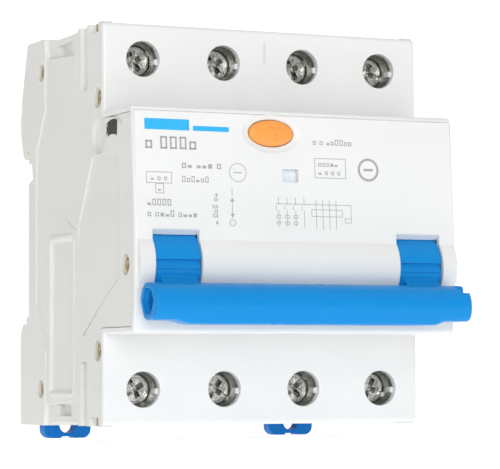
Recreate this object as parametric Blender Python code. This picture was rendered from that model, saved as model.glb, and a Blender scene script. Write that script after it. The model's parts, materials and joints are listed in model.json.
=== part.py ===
"""Four-module residual current device with overcurrent protection, as separate named pieces.

Lengths are in millimetres, and add_piece() scales them to metres as each object is made.
X runs to the device's right, Y from its face towards the mounting rail, and Z up.
The origin is the middle of the flat seat that rests on the rail.
Outlines of prisms along X are lists of (y, z), and a third value rounds that corner.
"""

import math

import bmesh
import bpy
from mathutils import Matrix, Vector

MM = 0.001
GAP = 0.3

# Casing
MODULE = 18.0
POLES = 4
CLAW_HALF = MODULE * POLES / 2
SIDE_DROP = 0.3
FACE_HALF = CLAW_HALF - SIDE_DROP
PLATE = 2.4
PLATE_INNER = FACE_HALF - PLATE
HOUSING_HALF = PLATE_INNER - GAP
HALF_HEIGHT = 41.5
TROUGH_Z = 40.6
REAR_Y = 5.3
PARTING_Y = -29.5
SHOULDER_Y = -44.3
NOSE_Y = -61.6
NOSE_TOP_Y = -60.0
NOSE_FOOT_Y = -60.7
NOSE_HALF = 22.5
SKIN = 1.2
INSET = SKIN + GAP
BAND_Y = -38.8
BAND_Z = 28.6
CAVITY_Y = -4.6
CAVITY_HALF = 38.6
PARTITION = 1.2
COVER_EDGE_Z = 41.3
SHOULDER_EDGE_Z = 40.9
EDGE_R = 1.0
FAR = 90.0

# Rail recess
SEAT_Y = 0.0
SEAT_RELIEF_Y = -0.2
SEAT_LOW_Z = -15.8
SEAT_HIGH_Z = 10.8
RAIL_SLOT = 1.4
RAIL_SLOT_Z = 17.9
HOOK_TIP_Z = 16.3
LOWER_STEP_Z = -19.7

# Terminals
TERMINAL_Z = 33.7
SCREW_HOLE_R = 3.7
SCREW_HEAD_R = 3.3
SCREW_HEAD_Y = -39.4
SCREW_HEAD_T = 2.5
SCREW_SHANK_R = 2.4
SCREW_LENGTH = 9.4
CAGE_HALF = 5.8
CAGE_WALL = 1.1
CAGE_FRONT_Y = -29.6
CAGE_FRONT_T = 2.0
CAGE_BACK_Y = -15.7
CAGE_BACK_T = 1.8
CAGE_HEIGHT = 8.0
FLANGE_Y = -26.1
STRIP = 1.2
STRIP_HALF = 4.2
WIRE_HALF = 4.7
WIRE_FRONT_Y = -26.0
WIRE_BACK_Y = -17.2

# Handle
AXLE_Y = -56.0
AXLE_Z = -8.9
AXLE_R = 1.3
BULGE_R = 7.4
BULGE_HALF = 35.2
DRUM_R = 6.9
DRUM_HALF = 4.6
WINDOW_HALF = 5.0
WINDOW_RISE = 6.9
LEVER_ANGLE = math.radians(37.0)
LEVER_HALF = 2.0
LEVER_REACH = 12.6
LEVER_SIDE = 3.8
BAR_LEFT_X = -35.2
BAR_RIGHT_X = 34.4
BAR_SAG = 0.8

# Test button and trip flag
BUTTON_X = -5.6
BUTTON_Z = 17.8
BUTTON_HALF_X = 5.2
BUTTON_HALF_Z = 2.9
BUTTON_Y = -61.0
FLANGE_FRONT_Y = -58.1
FLAG_X = -1.6
FLAG_Z = 9.3
FLAG_HALF_X = 1.75
FLAG_HALF_Z = 1.3
FLAG_Y = -58.6
FLAG_PLATE_HALF = 2.9
FLAG_PLATE_T = 0.8
FLAG_LOW_Z = 4.0
FLAG_HIGH_Z = 13.2
DISH_HALF_X = 7.0
DISH_HALF_Z = 4.4

# Contact system
CROSSBAR_Y = -26.0
CROSSBAR_Z = 16.0
CROSSBAR_R = 2.2
CROSSBAR_HALF = 31.5
OPEN_ANGLE = math.radians(20.0)
ARM_LENGTH = 11.0
TRIP_BAR_Y = -46.0
TRIP_BAR_Z = -14.0
TRIP_BAR_R = 1.3
TRIP_BAR_HALF = 30.5
PADDLE_LENGTH = 6.0
PADDLE_HALF = 2.0
PADDLE_T = 1.6
ARM_HALF = 2.2
ARM_T = 1.6
HUB_WALL = 1.8
PAD_LENGTH = 2.8
PAD_T = 1.3

# Arc chutes and magnetic coils
CHUTE_HALF = 5.6
CHUTE_PLATES = 7
CHUTE_PLATE_T = 1.2
CHUTE_LOW_Z = -16.0
CHUTE_HIGH_Z = 8.0
CHUTE_FRONT_Y = -13.0
CARD_FRONT_Y = -6.2
CARD_BACK_Y = -5.2
COIL_TURNS = 5
COIL_PITCH = 2.6
COIL_FRONT_Y = -34.6
COIL_BORE_R = 2.6
COIL_ROOT_R = 4.6
COIL_R = 5.7

# Electronics
BOARD_T = 1.6
BOARD_FRONT_Y = -46.8
RING_CORE_X = -21.0
RING_CORE_Z = 11.5
RING_CORE_R = 8.0
RING_CORE_BORE_R = 4.2
RELAY_FRONT_Y = -57.6
PARTS_BACK_Y = -48.2

# Rail clips
CLIP_HALF = 5.4
CLIP_T = 3.0
CLIP_FOOT_Z = -44.5
CLIP_SHOULDER_Z = -20.4
CLIP_TIP_Z = -16.0
CLIP_TONGUE_Y = 1.75
CLIP_HOLE_R = 1.85
CLIP_HOLE_Z = -41.6

RIVET_R = 1.1
RIVET_HEAD_R = 1.8
RIVET_HEAD_T = 0.8
RIVET_SINK_R = 2.15
RIVET_FLOOR = 34.6
RIVETS = {
    "rivet_rear_top": (-7.8, 34.4),
    "rivet_front_top": (-40.6, 25.8),
    "rivet_front_bottom": (-40.6, -25.8),
    "rivet_rear_bottom": (-7.8, -33.8),
}

WHITE = ("housing_white", (0.80, 0.81, 0.79), 0.45, 0.0)
COVER_WHITE = ("cover_white", (0.86, 0.87, 0.86), 0.40, 0.0)
BLUE = ("handle_blue", (0.015, 0.25, 0.70), 0.35, 0.0)
CLIP_BLUE = ("clip_blue", (0.005, 0.13, 0.60), 0.40, 0.0)
ORANGE = ("button_orange", (0.95, 0.33, 0.06), 0.40, 0.0)
ZINC = ("zinc_steel", (0.66, 0.66, 0.63), 0.32, 1.0)
BRASS = ("brass", (0.72, 0.55, 0.25), 0.35, 1.0)
COPPER = ("copper", (0.75, 0.38, 0.22), 0.35, 1.0)
BLACK = ("inner_black", (0.03, 0.03, 0.03), 0.55, 0.0)
BOARD_GREEN = ("board_green", (0.02, 0.16, 0.07), 0.50, 0.0)
FLAG_WHITE = ("flag_white", (0.78, 0.82, 0.88), 0.40, 0.0)


def clear_scene():
    """Remove whatever the file holds, so that only this model is left."""
    for item in list(bpy.data.objects):
        bpy.data.objects.remove(item, do_unlink=True)


def material(spec):
    """Return the Principled material of a (name, colour, roughness, metallic) entry, made once."""
    name, colour, roughness, metallic = spec
    if name in bpy.data.materials:
        return bpy.data.materials[name]
    made = bpy.data.materials.new(name)
    made.use_nodes = True
    shader = made.node_tree.nodes["Principled BSDF"]
    shader.inputs["Base Color"].default_value = (*colour, 1.0)
    shader.inputs["Roughness"].default_value = roughness
    shader.inputs["Metallic"].default_value = metallic
    made.diffuse_color = (*colour, 1.0)
    return made


def place(u, v, along, axis):
    """Turn the two outline coordinates and the distance along the axis into a point."""
    return {"X": (along, u, v), "Y": (u, along, v), "Z": (u, v, along)}[axis]


def rounded(outline, steps=4):
    """Replace each corner that states a radius by an arc of the given number of steps."""
    points = []
    for index, corner in enumerate(outline):
        if len(corner) == 2:
            points.append(corner)
            continue
        here = Vector(corner[:2])
        back = (Vector(outline[index - 1][:2]) - here).normalized()
        ahead = (Vector(outline[(index + 1) % len(outline)][:2]) - here).normalized()
        half = back.angle(ahead) / 2
        centre = here + (back + ahead).normalized() * corner[2] / math.sin(half)
        start = here + back * corner[2] / math.tan(half) - centre
        end = here + ahead * corner[2] / math.tan(half) - centre
        sweep = start.angle_signed(end)
        for step in range(steps + 1):
            turned = start.copy()
            turned.rotate(Matrix.Rotation(-sweep * step / steps, 2))
            points.append(tuple(centre + turned))
    return points


def arc(centre, radius, start, end, steps):
    """Points of an arc in the outline plane, angles in radians from the first axis."""
    angles = [start + (end - start) * step / steps for step in range(steps + 1)]
    return [(centre[0] + radius * math.cos(a), centre[1] + radius * math.sin(a)) for a in angles]


def circle(centre, radius, segments=24):
    """A closed round outline, without a repeated point."""
    return arc(centre, radius, 0.0, 2 * math.pi, segments)[:-1]


def rectangle(low_u, high_u, low_v, high_v, radius=0.0):
    """A closed rectangular outline, with rounded corners where a radius is given."""
    corners = [(low_u, low_v), (high_u, low_v), (high_u, high_v), (low_u, high_v)]
    return [(*corner, radius) for corner in corners] if radius else corners


def oval(centre, half_u, half_v, segments=32):
    """A closed elliptical outline, without a repeated point."""
    return [(centre[0] + u * half_u, centre[1] + v * half_v) for u, v in circle((0.0, 0.0), 1.0, segments)]


def finish_mesh(bm):
    """Turn a bmesh in millimetres into mesh data with its faces pointing outwards."""
    bmesh.ops.recalc_face_normals(bm, faces=bm.faces)
    mesh = bpy.data.meshes.new("shape")
    bm.to_mesh(mesh)
    bm.free()
    return mesh


def prism(outline, low, high, axis="X"):
    """Extrude a closed outline along an axis from low to high."""
    bm = bmesh.new()
    points = rounded(outline)
    face = bm.faces.new([bm.verts.new(place(u, v, low, axis)) for u, v in points])
    grown = bmesh.ops.extrude_face_region(bm, geom=[face])["geom"]
    top = [item for item in grown if isinstance(item, bmesh.types.BMVert)]
    bmesh.ops.translate(bm, verts=top, vec=place(0.0, 0.0, high - low, axis))
    return finish_mesh(bm)


def block(low, high):
    """A box between two corners."""
    return prism(rectangle(low[1], high[1], low[2], high[2]), low[0], high[0])


def loft(sections):
    """Join closed loops of equal length, each a list of points, and cap both ends."""
    bm = bmesh.new()
    loops = [[bm.verts.new(point) for point in section] for section in sections]
    count = len(sections[0])
    for first, second in zip(loops, loops[1:]):
        for index in range(count):
            after = (index + 1) % count
            bm.faces.new((first[index], first[after], second[after], second[index]))
    bm.faces.new(loops[0])
    bm.faces.new(loops[-1])
    return finish_mesh(bm)


def turned(profile, centre, axis="Y", segments=16):
    """Spin (radius, distance along the axis) points round a centre line, closed by end caps."""
    loops = []
    for radius, along in profile:
        loops.append([place(u, v, along, axis) for u, v in circle(centre, radius, segments)])
    return loft(loops)


def ring(profile, centre, axis="Y", segments=16):
    """Spin a closed (radius, distance along the axis) profile into a ring."""
    bm = bmesh.new()
    loops = []
    for radius, along in profile:
        points = circle(centre, radius, segments)
        loops.append([bm.verts.new(place(u, v, along, axis)) for u, v in points])
    for first, second in zip(loops, loops[1:] + loops[:1]):
        for index in range(segments):
            after = (index + 1) % segments
            bm.faces.new((first[index], first[after], second[after], second[index]))
    return finish_mesh(bm)


def strip(path, thickness):
    """Outline of a bent strip that follows a centre line of (y, z) points."""
    sides = ([], [])
    for index, point in enumerate(path):
        here = Vector(point)
        before = here - Vector(path[index - 1]) if index else None
        after = Vector(path[index + 1]) - here if index + 1 < len(path) else None
        ways = [way.normalized() for way in (before, after) if way]
        mean = sum(ways, Vector((0.0, 0.0))).normalized()
        normal = Vector((-mean.y, mean.x))
        reach = thickness / 2 / mean.dot(ways[0])
        sides[0].append(tuple(here + normal * reach))
        sides[1].append(tuple(here - normal * reach))
    return sides[0] + sides[1][::-1]


def combine(base, tools, operation="DIFFERENCE"):
    """Cut the tool meshes out of the base mesh, or join them to it, one after another."""
    target = bpy.data.objects.new("target", base)
    bpy.context.collection.objects.link(target)
    for tool_mesh in tools:
        tool = bpy.data.objects.new("tool", tool_mesh)
        bpy.context.collection.objects.link(tool)
        step = target.modifiers.new("step", "BOOLEAN")
        step.operation = operation
        step.solver = "EXACT"
        step.object = tool
        graph = bpy.context.evaluated_depsgraph_get()
        result = bpy.data.meshes.new_from_object(target.evaluated_get(graph))
        target.modifiers.clear()
        target.data = result
        bpy.data.objects.remove(tool, do_unlink=True)
    mesh = target.data
    bpy.data.objects.remove(target, do_unlink=True)
    return mesh


def add_piece(name, mesh, spec, origin=(0.0, 0.0, 0.0), spin=0.0, smooth=True):
    """Place a mesh given in device millimetres, with its origin at a joint or at the rail seat.

    The spin turns the piece about the Y line through its origin.
    """
    mesh = mesh.copy()
    mesh.name = name
    mesh.transform(Matrix.Rotation(spin, 4, "Y") @ Matrix.Translation(-Vector(origin)))
    mesh.transform(Matrix.Scale(MM, 4))
    mesh.materials.clear()
    mesh.materials.append(material(spec))
    if smooth:
        mesh.shade_smooth()
        mesh.set_sharp_from_angle(angle=math.radians(32.0))
    piece = bpy.data.objects.new(name, mesh)
    piece.location = Vector(origin) * MM
    bpy.context.collection.objects.link(piece)
    return piece


def pole_x(pole):
    """Middle of a pole, counted from 0 at the left."""
    return (pole - (POLES - 1) / 2) * MODULE


def rear_outline():
    """Outer edge of the body behind the parting, from the top over the rail recess to the bottom."""
    return [
        (PARTING_Y, TROUGH_Z),
        (-16.0, TROUGH_Z),
        (-9.0, HALF_HEIGHT),
        (0.8, HALF_HEIGHT, 0.8),
        (4.5, 29.7),
        (REAR_Y, 24.5),
        (4.8, 20.5),
        (3.4, 17.2),
        (2.4, HOOK_TIP_Z),
        (RAIL_SLOT, HOOK_TIP_Z),
        (RAIL_SLOT, RAIL_SLOT_Z),
        (SEAT_RELIEF_Y, RAIL_SLOT_Z),
        (SEAT_RELIEF_Y, 15.2),
        (-2.1, 15.0),
        (-2.6, 11.7),
        (SEAT_Y, SEAT_HIGH_Z),
        (SEAT_Y, SEAT_LOW_Z),
        (SEAT_RELIEF_Y, SEAT_LOW_Z),
        (SEAT_RELIEF_Y, -17.9),
        (RAIL_SLOT, -18.2),
        (RAIL_SLOT, LOWER_STEP_Z),
        (3.4, LOWER_STEP_Z),
        (4.7, -21.0),
        (REAR_Y, -23.0),
        (REAR_Y, -HALF_HEIGHT, 0.8),
        (-9.0, -HALF_HEIGHT),
        (-16.0, -TROUGH_Z),
        (PARTING_Y, -TROUGH_Z),
    ]


def front_outline(inset):
    """Outer edge of the front half from bottom to top, moved inwards by the inset, without the bulge."""
    return [
        (PARTING_Y, -COVER_EDGE_Z + inset),
        (SHOULDER_Y + inset, -SHOULDER_EDGE_Z + inset, EDGE_R),
        (SHOULDER_Y + inset, -NOSE_HALF + inset),
        (NOSE_FOOT_Y + inset, -NOSE_HALF + inset, EDGE_R),
        (NOSE_Y + inset, AXLE_Z - WINDOW_RISE),
        (NOSE_Y + inset, AXLE_Z + WINDOW_RISE),
        (NOSE_TOP_Y + inset, NOSE_HALF - inset, EDGE_R),
        (SHOULDER_Y + inset, NOSE_HALF - inset),
        (SHOULDER_Y + inset, SHOULDER_EDGE_Z - inset, EDGE_R),
        (PARTING_Y, COVER_EDGE_Z - inset),
    ]


def bulge(radius, face_y):
    """Arc of the round bulge over the handle axle, from its lower to its upper meeting with the face."""
    reach = math.acos((AXLE_Y - face_y) / radius)
    return arc((AXLE_Y, AXLE_Z), radius, math.pi + reach, math.pi - reach, 14)


def cover_shell():
    """The cover's skin with its round bulge, and the solid bands that the screw holes pass through."""
    outer = front_outline(0.0)
    inner = [corner[:2] for corner in front_outline(SKIN)]
    for outline in (outer, inner):
        outline[0] = (PARTING_Y - GAP, outline[0][1])
        outline[-1] = (PARTING_Y - GAP, outline[-1][1])
    shell = prism(outer + inner[::-1], -FACE_HALF, FACE_HALF)
    dome = prism(bulge(BULGE_R, NOSE_Y + SKIN / 2), -BULGE_HALF, BULGE_HALF)
    joined = [dome]
    for edges in ((BAND_Z, inner[-1][1] + SKIN / 2), (inner[0][1] - SKIN / 2, -BAND_Z)):
        low = (-HOUSING_HALF, SHOULDER_Y + SKIN / 2, edges[0])
        joined.append(block(low, (HOUSING_HALF, BAND_Y, edges[1])))
    solid = combine(shell, joined, "UNION")
    hollow = prism(bulge(BULGE_R - SKIN, NOSE_Y + SKIN + GAP), -BULGE_HALF + SKIN, BULGE_HALF - SKIN)
    return combine(solid, [hollow])


def screw_hole_cutters():
    """Round ways to the eight terminal screws."""
    cutters = []
    for level in (TERMINAL_Z, -TERMINAL_Z):
        for pole in range(POLES):
            outline = circle((pole_x(pole), level), SCREW_HOLE_R)
            cutters.append(prism(outline, SHOULDER_Y - 2.0, BAND_Y + 1.0, "Y"))
    return cutters


def toggle_window_cutter(x):
    """Flared opening for a toggle: wider outside than inside."""
    inside, outside = WINDOW_RISE - 0.4, WINDOW_RISE + 0.9
    back_y, front_y = NOSE_Y + SKIN + 2.0, NOSE_Y - 3.0
    outline = [
        (back_y, AXLE_Z - inside),
        (NOSE_Y + SKIN, AXLE_Z - inside),
        (front_y, AXLE_Z - outside - 1.0),
        (front_y, AXLE_Z + outside + 1.0),
        (NOSE_Y + SKIN, AXLE_Z + inside),
        (back_y, AXLE_Z + inside),
    ]
    return prism(outline, x - WINDOW_HALF, x + WINDOW_HALF)


def button_recess_cutter():
    """Tapered oval dish round the test button."""
    centre = (BUTTON_X, BUTTON_Z)
    outer = (NOSE_TOP_Y - 1.2, DISH_HALF_X, DISH_HALF_Z)
    inner = (NOSE_TOP_Y + 1.0, BUTTON_HALF_X + GAP, BUTTON_HALF_Z + GAP)
    sections = []
    for y, half_x, half_z in (outer, inner):
        sections.append([place(u, v, y, "Y") for u, v in oval(centre, half_x, half_z)])
    return loft(sections)


def cover_cutters():
    """Everything that opens or marks the front cover."""
    button_hole = oval((BUTTON_X, BUTTON_Z), BUTTON_HALF_X + GAP, BUTTON_HALF_Z + GAP)
    flag_hole = rectangle(
        FLAG_X - FLAG_HALF_X, FLAG_X + FLAG_HALF_X, FLAG_Z - FLAG_HALF_Z, FLAG_Z + FLAG_HALF_Z
    )
    cutters = screw_hole_cutters()
    cutters += [toggle_window_cutter(pole_x(0)), toggle_window_cutter(pole_x(POLES - 1))]
    cutters.append(button_recess_cutter())
    cutters.append(prism(button_hole, NOSE_Y - 1.0, NOSE_TOP_Y + 4.0, "Y"))
    cutters.append(prism(flag_hole, NOSE_Y - 1.0, NOSE_TOP_Y + 4.0, "Y"))
    cutters.append(block((0.0, SHOULDER_Y - 1.0, 34.1), (0.5, SHOULDER_Y + 0.3, 38.3)))
    for side in (-1, 1):
        for level in (-1, 1):
            ends = sorted((side * (FACE_HALF - 0.9), side * (FACE_HALF + 1.0)))
            edges = sorted((level * 38.0, level * 43.0))
            cutters.append(block((ends[0], -41.4, edges[0]), (ends[1], -37.3, edges[1])))
    return cutters


def build_front_cover():
    """The white front cover."""
    add_piece("front_cover", combine(cover_shell(), cover_cutters()), COVER_WHITE)


def housing_outline():
    """Outer edge of the rear housing, which steps inwards under the cover."""
    inner_z = COVER_EDGE_Z - INSET
    band_z = BAND_Z - GAP
    front = [
        (PARTING_Y, -inner_z),
        (BAND_Y + GAP, -inner_z),
        (BAND_Y + GAP, -band_z),
        (SHOULDER_Y + INSET, -band_z),
        (SHOULDER_Y + INSET, band_z),
        (BAND_Y + GAP, band_z),
        (BAND_Y + GAP, inner_z),
        (PARTING_Y, inner_z),
    ]
    return rear_outline() + front


def cavity_cutters():
    """One chamber for each pole, open at the front, the outer two also open at the side."""
    cutters = []
    for pole in range(POLES):
        left = pole_x(pole) - MODULE / 2 + PARTITION / 2 if pole else -FAR
        right = pole_x(pole) + MODULE / 2 - PARTITION / 2 if pole < POLES - 1 else FAR
        cutters.append(block((left, -FAR, -CAVITY_HALF), (right, CAVITY_Y, CAVITY_HALF)))
    return cutters


def wire_entry_cutters():
    """Rounded openings above and below each pole for the wires."""
    cutters = []
    for pole in range(POLES):
        x = pole_x(pole)
        outline = rectangle(x - WIRE_HALF, x + WIRE_HALF, WIRE_FRONT_Y, WIRE_BACK_Y, 2.5)
        cutters.append(prism(outline, CAVITY_HALF - 1.0, HALF_HEIGHT + 2.0, "Z"))
        cutters.append(prism(outline, -HALF_HEIGHT - 2.0, -CAVITY_HALF + 1.0, "Z"))
    return cutters


def build_rear_housing():
    """The moulding that carries the rail recess, the terminals and the pole partitions."""
    cutters = cavity_cutters() + wire_entry_cutters()
    for x in (pole_x(0), pole_x(POLES - 1)):
        low = (x - CLIP_HALF - GAP, SEAT_Y - GAP, -HALF_HEIGHT - 2.0)
        high = (x + CLIP_HALF + GAP, CLIP_T + GAP, -RAIL_SLOT_Z)
        cutters.append(block(low, high))
    across = (-HOUSING_HALF - 1.0, HOUSING_HALF + 1.0)
    cutters.append(prism(circle((CROSSBAR_Y, CROSSBAR_Z), CROSSBAR_R + 0.4), *across))
    for centre in RIVETS.values():
        cutters.append(prism(circle(centre, RIVET_R + 0.2, 16), *across))
    base = prism(housing_outline(), -HOUSING_HALF, HOUSING_HALF)
    add_piece("rear_housing", combine(base, cutters), WHITE)


def plate_outline():
    """Outer edge of a side plate: the full body edge behind, the cover's inset edge in front."""
    return rear_outline() + front_outline(INSET)


def plate_cutter(outline, side, depth):
    """A recess of the given depth below the plate's front surface."""
    ends = sorted((side * (FACE_HALF - depth), side * (CLAW_HALF + 2.0)))
    return prism(outline, *ends)


def middle_zone():
    """The area in front of the claws, which lies a little lower than they do."""
    return [
        (-9.8, 45.0),
        (-11.4, 36.5),
        (-10.8, 26.3),
        (-5.8, 17.8),
        (-5.3, 14.6),
        (-5.3, -15.7),
        (-10.5, -24.5),
        (-11.1, -36.5),
        (-8.6, -45.0),
        (-FAR, -45.0),
        (-FAR, 45.0),
    ]


def groove_cutter(side, level):
    """Wedge groove by the parting: a steep rear wall and a floor that rises to the surface."""
    outline = [(-31.4, -0.7), (-31.4, 2.0), (-38.0, 2.0), (-36.0, 0.0)]
    near, far = sorted((level * 28.0, level * 45.0))
    sections = [[(side * (FACE_HALF + x), y, z) for y, x in outline] for z in (near, far)]
    return loft(sections)


def plate_cutters(side):
    """Recesses, pockets, window and rivet seats of one side plate."""
    cutters = [plate_cutter(middle_zone(), side, 0.0)]
    cutters += [groove_cutter(side, 1), groove_cutter(side, -1)]
    cutters.append(plate_cutter(rectangle(-25.0, -17.3, 36.2, 38.8), side, 0.9))
    cutters.append(plate_cutter(rectangle(-25.0, -17.3, -39.2, -36.7), side, 0.9))
    cutters.append(plate_cutter(rectangle(-28.4, -13.2, -35.2, -1.2, 1.5), side, 0.35))
    wedge = [
        (-38.6, 14.0),
        (-52.7, 13.8, 1.5),
        (-52.7, -11.7),
        (-41.5, -17.9),
        (-31.0, -8.0),
        (-30.0, -0.4),
        (-35.1, 7.2),
    ]
    cutters.append(plate_cutter(wedge, side, 0.35))
    cutters.append(plate_cutter(circle((-41.7, 17.9), 3.4, 20), side, 0.6))
    window = arc((-48.6, 10.0), 10.6, math.radians(108.0), math.radians(74.0), 6)
    window += arc((-48.6, 10.0), 7.6, math.radians(70.0), math.radians(112.0), 6)
    cutters.append(plate_cutter(window, side, PLATE + 1.0))
    for centre in (*RIVETS.values(), (AXLE_Y, AXLE_Z)):
        cutters.append(plate_cutter(circle(centre, RIVET_SINK_R, 20), side, FACE_HALF - RIVET_FLOOR))
        cutters.append(plate_cutter(circle(centre, AXLE_R + 0.2, 16), side, PLATE + 1.0))
    return cutters


def build_side_plates():
    """The two outer plates that close the body's sides."""
    for name, side in (("left_side_plate", -1), ("right_side_plate", 1)):
        ends = sorted((side * PLATE_INNER, side * CLAW_HALF))
        add_piece(name, combine(prism(plate_outline(), *ends), plate_cutters(side)), WHITE)


def pin_profile(radius, head_r):
    """Half section of a pin with a low domed head at each end, seated on the plates' counterbores."""
    seat = RIVET_FLOOR + 0.15
    end = [(radius, -seat), (head_r, -seat), (head_r, -seat - 0.4), (head_r * 0.6, -seat - RIVET_HEAD_T)]
    return end[::-1] + [(r, -x) for r, x in end]


def build_rivets():
    """Four rivets through the whole body and the handle's axle, closed like a rivet."""
    for name, centre in RIVETS.items():
        add_piece(name, turned(pin_profile(RIVET_R, RIVET_HEAD_R), centre, "X", 12), BRASS)
    profile = pin_profile(AXLE_R, RIVET_HEAD_R)
    add_piece("handle_axle", turned(profile, (AXLE_Y, AXLE_Z), "X"), BRASS)


def screw_mesh(origin):
    """Terminal screw: round head with a through slot and a deeper cross, and a plain shank."""
    x, y, z = origin
    tip = y + SCREW_HEAD_T + SCREW_LENGTH
    profile = [
        (SCREW_HEAD_R - 0.4, y),
        (SCREW_HEAD_R, y + 0.4),
        (SCREW_HEAD_R, y + SCREW_HEAD_T),
        (SCREW_SHANK_R, y + SCREW_HEAD_T),
        (SCREW_SHANK_R, tip - 0.8),
        (SCREW_SHANK_R - 0.7, tip),
    ]
    shaft = turned(profile, (x, z), "Y", 18)
    slot = block((x - SCREW_HEAD_R - 1.0, y - 1.0, z - 0.55), (x + SCREW_HEAD_R + 1.0, y + 1.0, z + 0.55))
    upright = block((x - 0.5, y - 1.0, z - 2.1), (x + 0.5, y + 1.7, z + 2.1))
    across = block((x - 2.1, y - 1.0, z - 0.5), (x + 2.1, y + 1.7, z + 0.5))
    return combine(shaft, [slot, upright, across])


def cage_mesh(x, z):
    """Terminal cage: a square band round the wire, open above and below."""
    outer = rectangle(x - CAGE_HALF, x + CAGE_HALF, CAGE_FRONT_Y, CAGE_BACK_Y)
    inner = rectangle(
        x - CAGE_HALF + CAGE_WALL,
        x + CAGE_HALF - CAGE_WALL,
        CAGE_FRONT_Y + CAGE_FRONT_T,
        CAGE_BACK_Y - CAGE_BACK_T,
    )
    half = CAGE_HEIGHT / 2
    band = prism(outer, z - half, z + half, "Z")
    window = prism(inner, z - half - 1.0, z + half + 1.0, "Z")
    bore = prism(circle((x, z), SCREW_SHANK_R + 0.2, 16), CAGE_FRONT_Y - 1.0, CAGE_FRONT_Y + 2.5, "Y")
    return combine(band, [window, bore])


def build_terminals():
    """Eight screws and the eight cages that they draw forwards."""
    for side, level in (("line", TERMINAL_Z), ("load", -TERMINAL_Z)):
        for pole in range(POLES):
            x = pole_x(pole)
            seat = (x, SCREW_HEAD_Y, level)
            turn = math.radians(38.0 + 11.0 * pole)
            number = pole + 1
            add_piece(f"terminal_screw_{side}_{number}", screw_mesh(seat), ZINC, seat, turn)
            add_piece(f"terminal_cage_{side}_{number}", cage_mesh(x, level), ZINC, smooth=False)


def lever_point(along, across):
    """A point beside the lever's centre line, as (y, z) from the axle."""
    y = -along * math.cos(LEVER_ANGLE) - across * math.sin(LEVER_ANGLE)
    z = -along * math.sin(LEVER_ANGLE) + across * math.cos(LEVER_ANGLE)
    return (AXLE_Y + y, AXLE_Z + z)


def drum_arc(radius, start, end, steps):
    """Arc of the drum, angles in degrees above the straight-ahead direction."""
    angles = (math.pi - math.radians(start), math.pi - math.radians(end))
    return arc((AXLE_Y, AXLE_Z), radius, *angles, steps)


def toggle_mesh(x):
    """Drum with a finger groove, and the lever that carries the bar."""
    drum = drum_arc(DRUM_R, 3.0, 306.0, 26)
    lever = [lever_point(LEVER_REACH, -LEVER_HALF), lever_point(LEVER_REACH, LEVER_HALF)]
    heel = drum_arc(DRUM_R - 0.3, -19.0, -7.0, 2)
    groove = drum_arc(DRUM_R - 0.6, -6.0, 2.0, 2)
    body = prism(drum + lever + heel + groove, x - DRUM_HALF, x + DRUM_HALF)
    bore = prism(circle((AXLE_Y, AXLE_Z), AXLE_R + 0.2, 16), x - DRUM_HALF - 1.0, x + DRUM_HALF + 1.0)
    root = DRUM_R + 0.6
    trims = []
    for side in (-1, 1):
        ends = sorted((x + side * LEVER_SIDE, x + side * (DRUM_HALF + 1.0)))
        outline = [
            lever_point(root, -LEVER_HALF - 2.0),
            lever_point(LEVER_REACH + 1.0, -LEVER_HALF - 2.0),
            lever_point(LEVER_REACH + 1.0, LEVER_HALF + 2.0),
            lever_point(root, LEVER_HALF + 2.0),
        ]
        trims.append(prism(outline, *ends))
    return combine(body, [bore, *trims])


def bar_section(x, drop):
    """Loop of the bar's cross-section at x, its underside lowered by the drop."""
    outline = [
        (-65.4, -12.8),
        (-67.0, -12.8),
        (-69.9, -13.8),
        (-71.0, -15.4),
        (-71.3, -17.0),
        (-70.9, -18.9),
        (-69.9, -20.1 - drop),
        (-65.2, -20.1 - drop),
        (-64.4, -19.4 - drop),
        (-63.4, -17.6),
        (-62.8, -15.7),
        (-63.6, -14.2),
    ]
    return [(x, y, z) for y, z in outline]


def bar_mesh():
    """Handle bar: raised underside at both ends, a socket in the left end, a step in the right."""
    stations = [
        (BAR_LEFT_X, 0.0),
        (-31.9, 0.0),
        (-28.3, BAR_SAG),
        (26.0, BAR_SAG),
        (29.2, 0.0),
        (BAR_RIGHT_X, 0.0),
    ]
    body = loft([bar_section(x, drop) for x, drop in stations])
    socket = circle((-66.9, -16.4), 2.35, 6)
    cutters = [prism(socket, BAR_LEFT_X - 1.0, BAR_LEFT_X + 4.0)]
    cutters.append(block((BAR_RIGHT_X - 1.4, -75.0, -14.3), (BAR_RIGHT_X + 1.0, -67.2, -10.0)))
    for pole in (0, POLES - 1):
        x = pole_x(pole)
        outline = [
            lever_point(DRUM_R, -LEVER_HALF - GAP),
            lever_point(LEVER_REACH + GAP, -LEVER_HALF - GAP),
            lever_point(LEVER_REACH + GAP, LEVER_HALF + GAP),
            lever_point(DRUM_R, LEVER_HALF + GAP),
        ]
        cutters.append(prism(outline, x - LEVER_SIDE - GAP, x + LEVER_SIDE + GAP))
    return combine(body, cutters)


def build_handle():
    """Two toggles on the axle, joined by the bar."""
    pivot = (0.0, AXLE_Y, AXLE_Z)
    for name, pole in (("toggle_left", 0), ("toggle_right", POLES - 1)):
        add_piece(name, toggle_mesh(pole_x(pole)), BLUE, pivot)
    add_piece("handle_bar", bar_mesh(), BLUE, pivot)


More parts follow.
